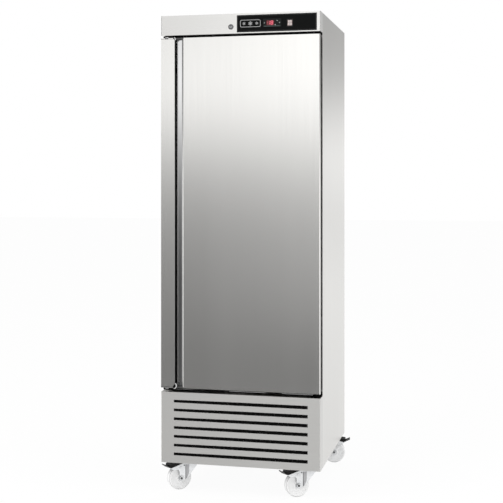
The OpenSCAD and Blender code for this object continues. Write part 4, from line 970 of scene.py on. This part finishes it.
def make_floor():
    """Pale floor that looks white to the camera but keeps the object's shadow."""
    bpy.ops.mesh.primitive_plane_add(size=FLOOR_SIZE, location=(0, 0, 0))
    floor = bpy.context.object
    floor.name = "studio_floor"
    material = bpy.data.materials.new("studio_floor")
    material.use_nodes = True
    nodes, links = material.node_tree.nodes, material.node_tree.links
    nodes.clear()
    diffuse = nodes.new("ShaderNodeBsdfDiffuse")
    diffuse.inputs["Color"].default_value = (FLOOR_GREY, FLOOR_GREY, FLOOR_GREY, 1)
    white = nodes.new("ShaderNodeEmission")
    white.inputs["Color"].default_value = (1, 1, 1, 1)
    ray = nodes.new("ShaderNodeLightPath")
    share = nodes.new("ShaderNodeMath")
    share.operation = "MULTIPLY"
    share.inputs[1].default_value = FLOOR_WHITE
    mix = nodes.new("ShaderNodeMixShader")
    output = nodes.new("ShaderNodeOutputMaterial")
    links.new(ray.outputs["Is Camera Ray"], share.inputs[0])
    links.new(share.outputs[0], mix.inputs[0])
    links.new(diffuse.outputs[0], mix.inputs[1])
    links.new(white.outputs[0], mix.inputs[2])
    links.new(mix.outputs[0], output.inputs["Surface"])
    floor.data.materials.append(material)
    floor.visible_glossy = False


# Brightness that metal reflects, by the sine of the direction's elevation: in front at the left and
# at the right, at the two ends of the room, and behind. Scaled until the steel's tones were the
# photograph's
FRONT_LEFT = [(-1.0, 0.9), (-0.5, 0.65), (-0.3, 0.31), (-0.22, 0.23), (-0.17, 0.17), (-0.131, 0.14),
              (-0.094, 0.135), (-0.057, 0.2), (-0.02, 0.3), (0.018, 0.58), (0.055, 1.14),
              (0.09, 1.48), (0.13, 1.03), (0.3, 1.15), (0.6, 0.9), (1.0, 0.5)]
FRONT_RIGHT = [(-1.0, 1.0), (-0.5, 1.1), (-0.3, 0.72), (-0.22, 0.22), (-0.17, 0.22), (-0.131, 0.46),
               (-0.094, 0.64), (-0.057, 0.68), (-0.02, 0.86), (0.018, 1.21), (0.055, 1.7),
               (0.09, 1.95), (0.13, 1.95), (0.2, 1.9), (0.4, 1.4), (0.6, 0.8), (1.0, 0.5)]
LEFT_END = [(-1.0, 0.9), (-0.3, 1.1), (-0.18, 1.55), (-0.08, 1.98), (-0.02, 1.98), (0.03, 1.5),
            (0.07, 0.35), (0.12, 0.1), (0.25, 0.1), (0.5, 0.5), (1.0, 0.8)]
RIGHT_END = [(-1.0, 0.9), (-0.3, 1.1), (-0.15, 1.5), (-0.02, 1.95), (0.03, 1.4), (0.07, 0.45),
             (0.15, 0.3), (0.5, 0.5), (1.0, 0.8)]
BACK_GLOW = [(-1.0, 0.9), (-0.3, 1.05), (-0.15, 1.15), (-0.094, 1.26), (-0.05, 1.08), (-0.02, 1.1),
             (0.018, 1.56), (0.055, 1.22), (0.092, 0.64), (0.12, 0.56), (0.2, 0.58), (0.5, 0.6),
             (1.0, 0.8)]
# Where one part of the room turns into the next, by the direction's X or Y
FRONT_TURN, RIGHT_TURN = (-0.32, -0.16), (0.1, 0.35)
BACK_TURN, LEFT_TURN = (-0.3, 0.5), (-0.64, -0.44)
# Colour ramps stop at 1, so the brightness is divided by this in the ramp and multiplied after it
RAMP_TOP = 2.0
# Light of the room on matt surfaces
DIFFUSE_LIGHT = 0.8


def glow_ramp(tree, height, stops):
    """A grey ramp of brightness over elevation."""
    ramp = tree.nodes.new("ShaderNodeValToRGB")
    ramp.color_ramp.interpolation = "B_SPLINE"
    elements = ramp.color_ramp.elements
    while len(elements) > 1:
        elements.remove(elements[0])
    for k, (sine, value) in enumerate(stops):
        place, grey = (sine + 1) / 2, value / RAMP_TOP
        element = elements[0] if k == 0 else elements.new(place)
        element.position = place
        element.color = (grey, grey, grey, 1)
    tree.links.new(height, ramp.inputs["Fac"])
    return ramp.outputs["Color"]


def make_world():
    """White to the camera; soft and even for matt surfaces; a studio's gradient for metal."""
    world = bpy.data.worlds.new("studio")
    bpy.context.scene.world = world
    world.use_nodes = True
    world.cycles.sampling_method = "NONE"
    tree = world.node_tree
    nodes, links = tree.nodes, tree.links
    nodes.clear()
    rays = nodes.new("ShaderNodeLightPath")
    place = nodes.new("ShaderNodeTexCoord")
    split = nodes.new("ShaderNodeSeparateXYZ")
    links.new(place.outputs["Generated"], split.inputs[0])

    def turn(axis, start, end, kind="SMOOTHSTEP"):
        """Runs from 0 to 1 as the direction goes from start to end."""
        return map_range(tree, split.outputs[axis], 0.0, 1.0, start, end, kind)

    def blend(factor, first, second):
        mix = nodes.new("ShaderNodeMix")
        mix.data_type = "RGBA"
        links.new(factor, mix.inputs["Factor"])
        links.new(first, mix.inputs["A"])
        links.new(second, mix.inputs["B"])
        return mix.outputs["Result"]

    def background(strength):
        node = nodes.new("ShaderNodeBackground")
        node.inputs["Color"].default_value = (1, 1, 1, 1)
        node.inputs["Strength"].default_value = strength
        return node

    def either(ray, otherwise, if_so):
        """One shader for a kind of ray, and another for the rest."""
        mix = nodes.new("ShaderNodeMixShader")
        links.new(rays.outputs[ray], mix.inputs[0])
        links.new(otherwise.outputs[0], mix.inputs[1])
        links.new(if_so.outputs[0], mix.inputs[2])
        return mix

    height = turn("Z", -1.0, 1.0, "LINEAR")
    left, right, left_end, right_end, back = (
        glow_ramp(tree, height, stops)
        for stops in (FRONT_LEFT, FRONT_RIGHT, LEFT_END, RIGHT_END, BACK_GLOW))
    front = blend(turn("X", *FRONT_TURN, "LINEAR"), left, right)
    front = blend(turn("X", *RIGHT_TURN), front, right_end)
    room = blend(turn("Y", *BACK_TURN), front, back)
    room = blend(turn("X", *LEFT_TURN), left_end, room)

    mirrored = background(RAMP_TOP)
    links.new(room, mirrored.inputs["Color"])
    for_objects = either("Is Glossy Ray", background(DIFFUSE_LIGHT), mirrored)
    output = nodes.new("ShaderNodeOutputWorld")
    links.new(either("Is Camera Ray", for_objects, background(1.0)).outputs[0],
              output.inputs["Surface"])


# Lamps: place and target in metres, size in metres, power in watts
LAMPS = {
    "key_box": ((-2.2, -3.0, 4.0), (0, 0, 1.0), 2.5, 75),
    "fill_box": ((3.2, -1.0, 3.0), (0, 0, 0.9), 2.5, 40),
}


def make_lamp(name, place, target, size, power):
    """Soft box that lights matt surfaces and casts the soft shadow; metal mirrors the world."""
    data = bpy.data.lights.new(name, "AREA")
    data.shape = "SQUARE"
    data.size = size
    data.energy = power
    lamp = bpy.data.objects.new(name, data)
    lamp.location = place
    lamp.rotation_euler = (Vector(target) - Vector(place)).to_track_quat("-Z", "Y").to_euler()
    lamp.visible_glossy = False
    lamp.visible_camera = False
    bpy.context.scene.collection.objects.link(lamp)


# The photograph's camera: place, heading to the left of +Y, focal length, sensor and shift
CAMERA_AT = (1.0526, -4.6925, 1.3225)
CAMERA_HEADING = math.radians(12.975)
CAMERA_LENS, CAMERA_SENSOR, CAMERA_SHIFT = 77.07, 36.0, -0.144


def make_camera():
    """Level camera at the photograph's place."""
    data = bpy.data.cameras.new("camera")
    data.lens = CAMERA_LENS
    data.sensor_width = CAMERA_SENSOR
    data.shift_y = CAMERA_SHIFT
    camera = bpy.data.objects.new("camera", data)
    camera.location = CAMERA_AT
    camera.rotation_euler = (math.pi / 2, 0, CAMERA_HEADING)
    bpy.context.scene.collection.objects.link(camera)
    bpy.context.scene.camera = camera


make_camera()
make_floor()
make_world()
for lamp_name, lamp_setting in LAMPS.items():
    make_lamp(lamp_name, *lamp_setting)
finish_nodes()
make_fascia_print()
make_display()
make_key_marks()
make_lock_face()
make_rocker_pads()
make_grip_linings()
make_grip_ends()
make_slot_shade()
make_door_gap_shade()
make_door_returns()
make_keeper_pocket()
make_pedal_trim()
make_castor_trim()
make_cover_screws()
make_back_screws()

bpy.context.scene.view_settings.view_transform = "Standard"
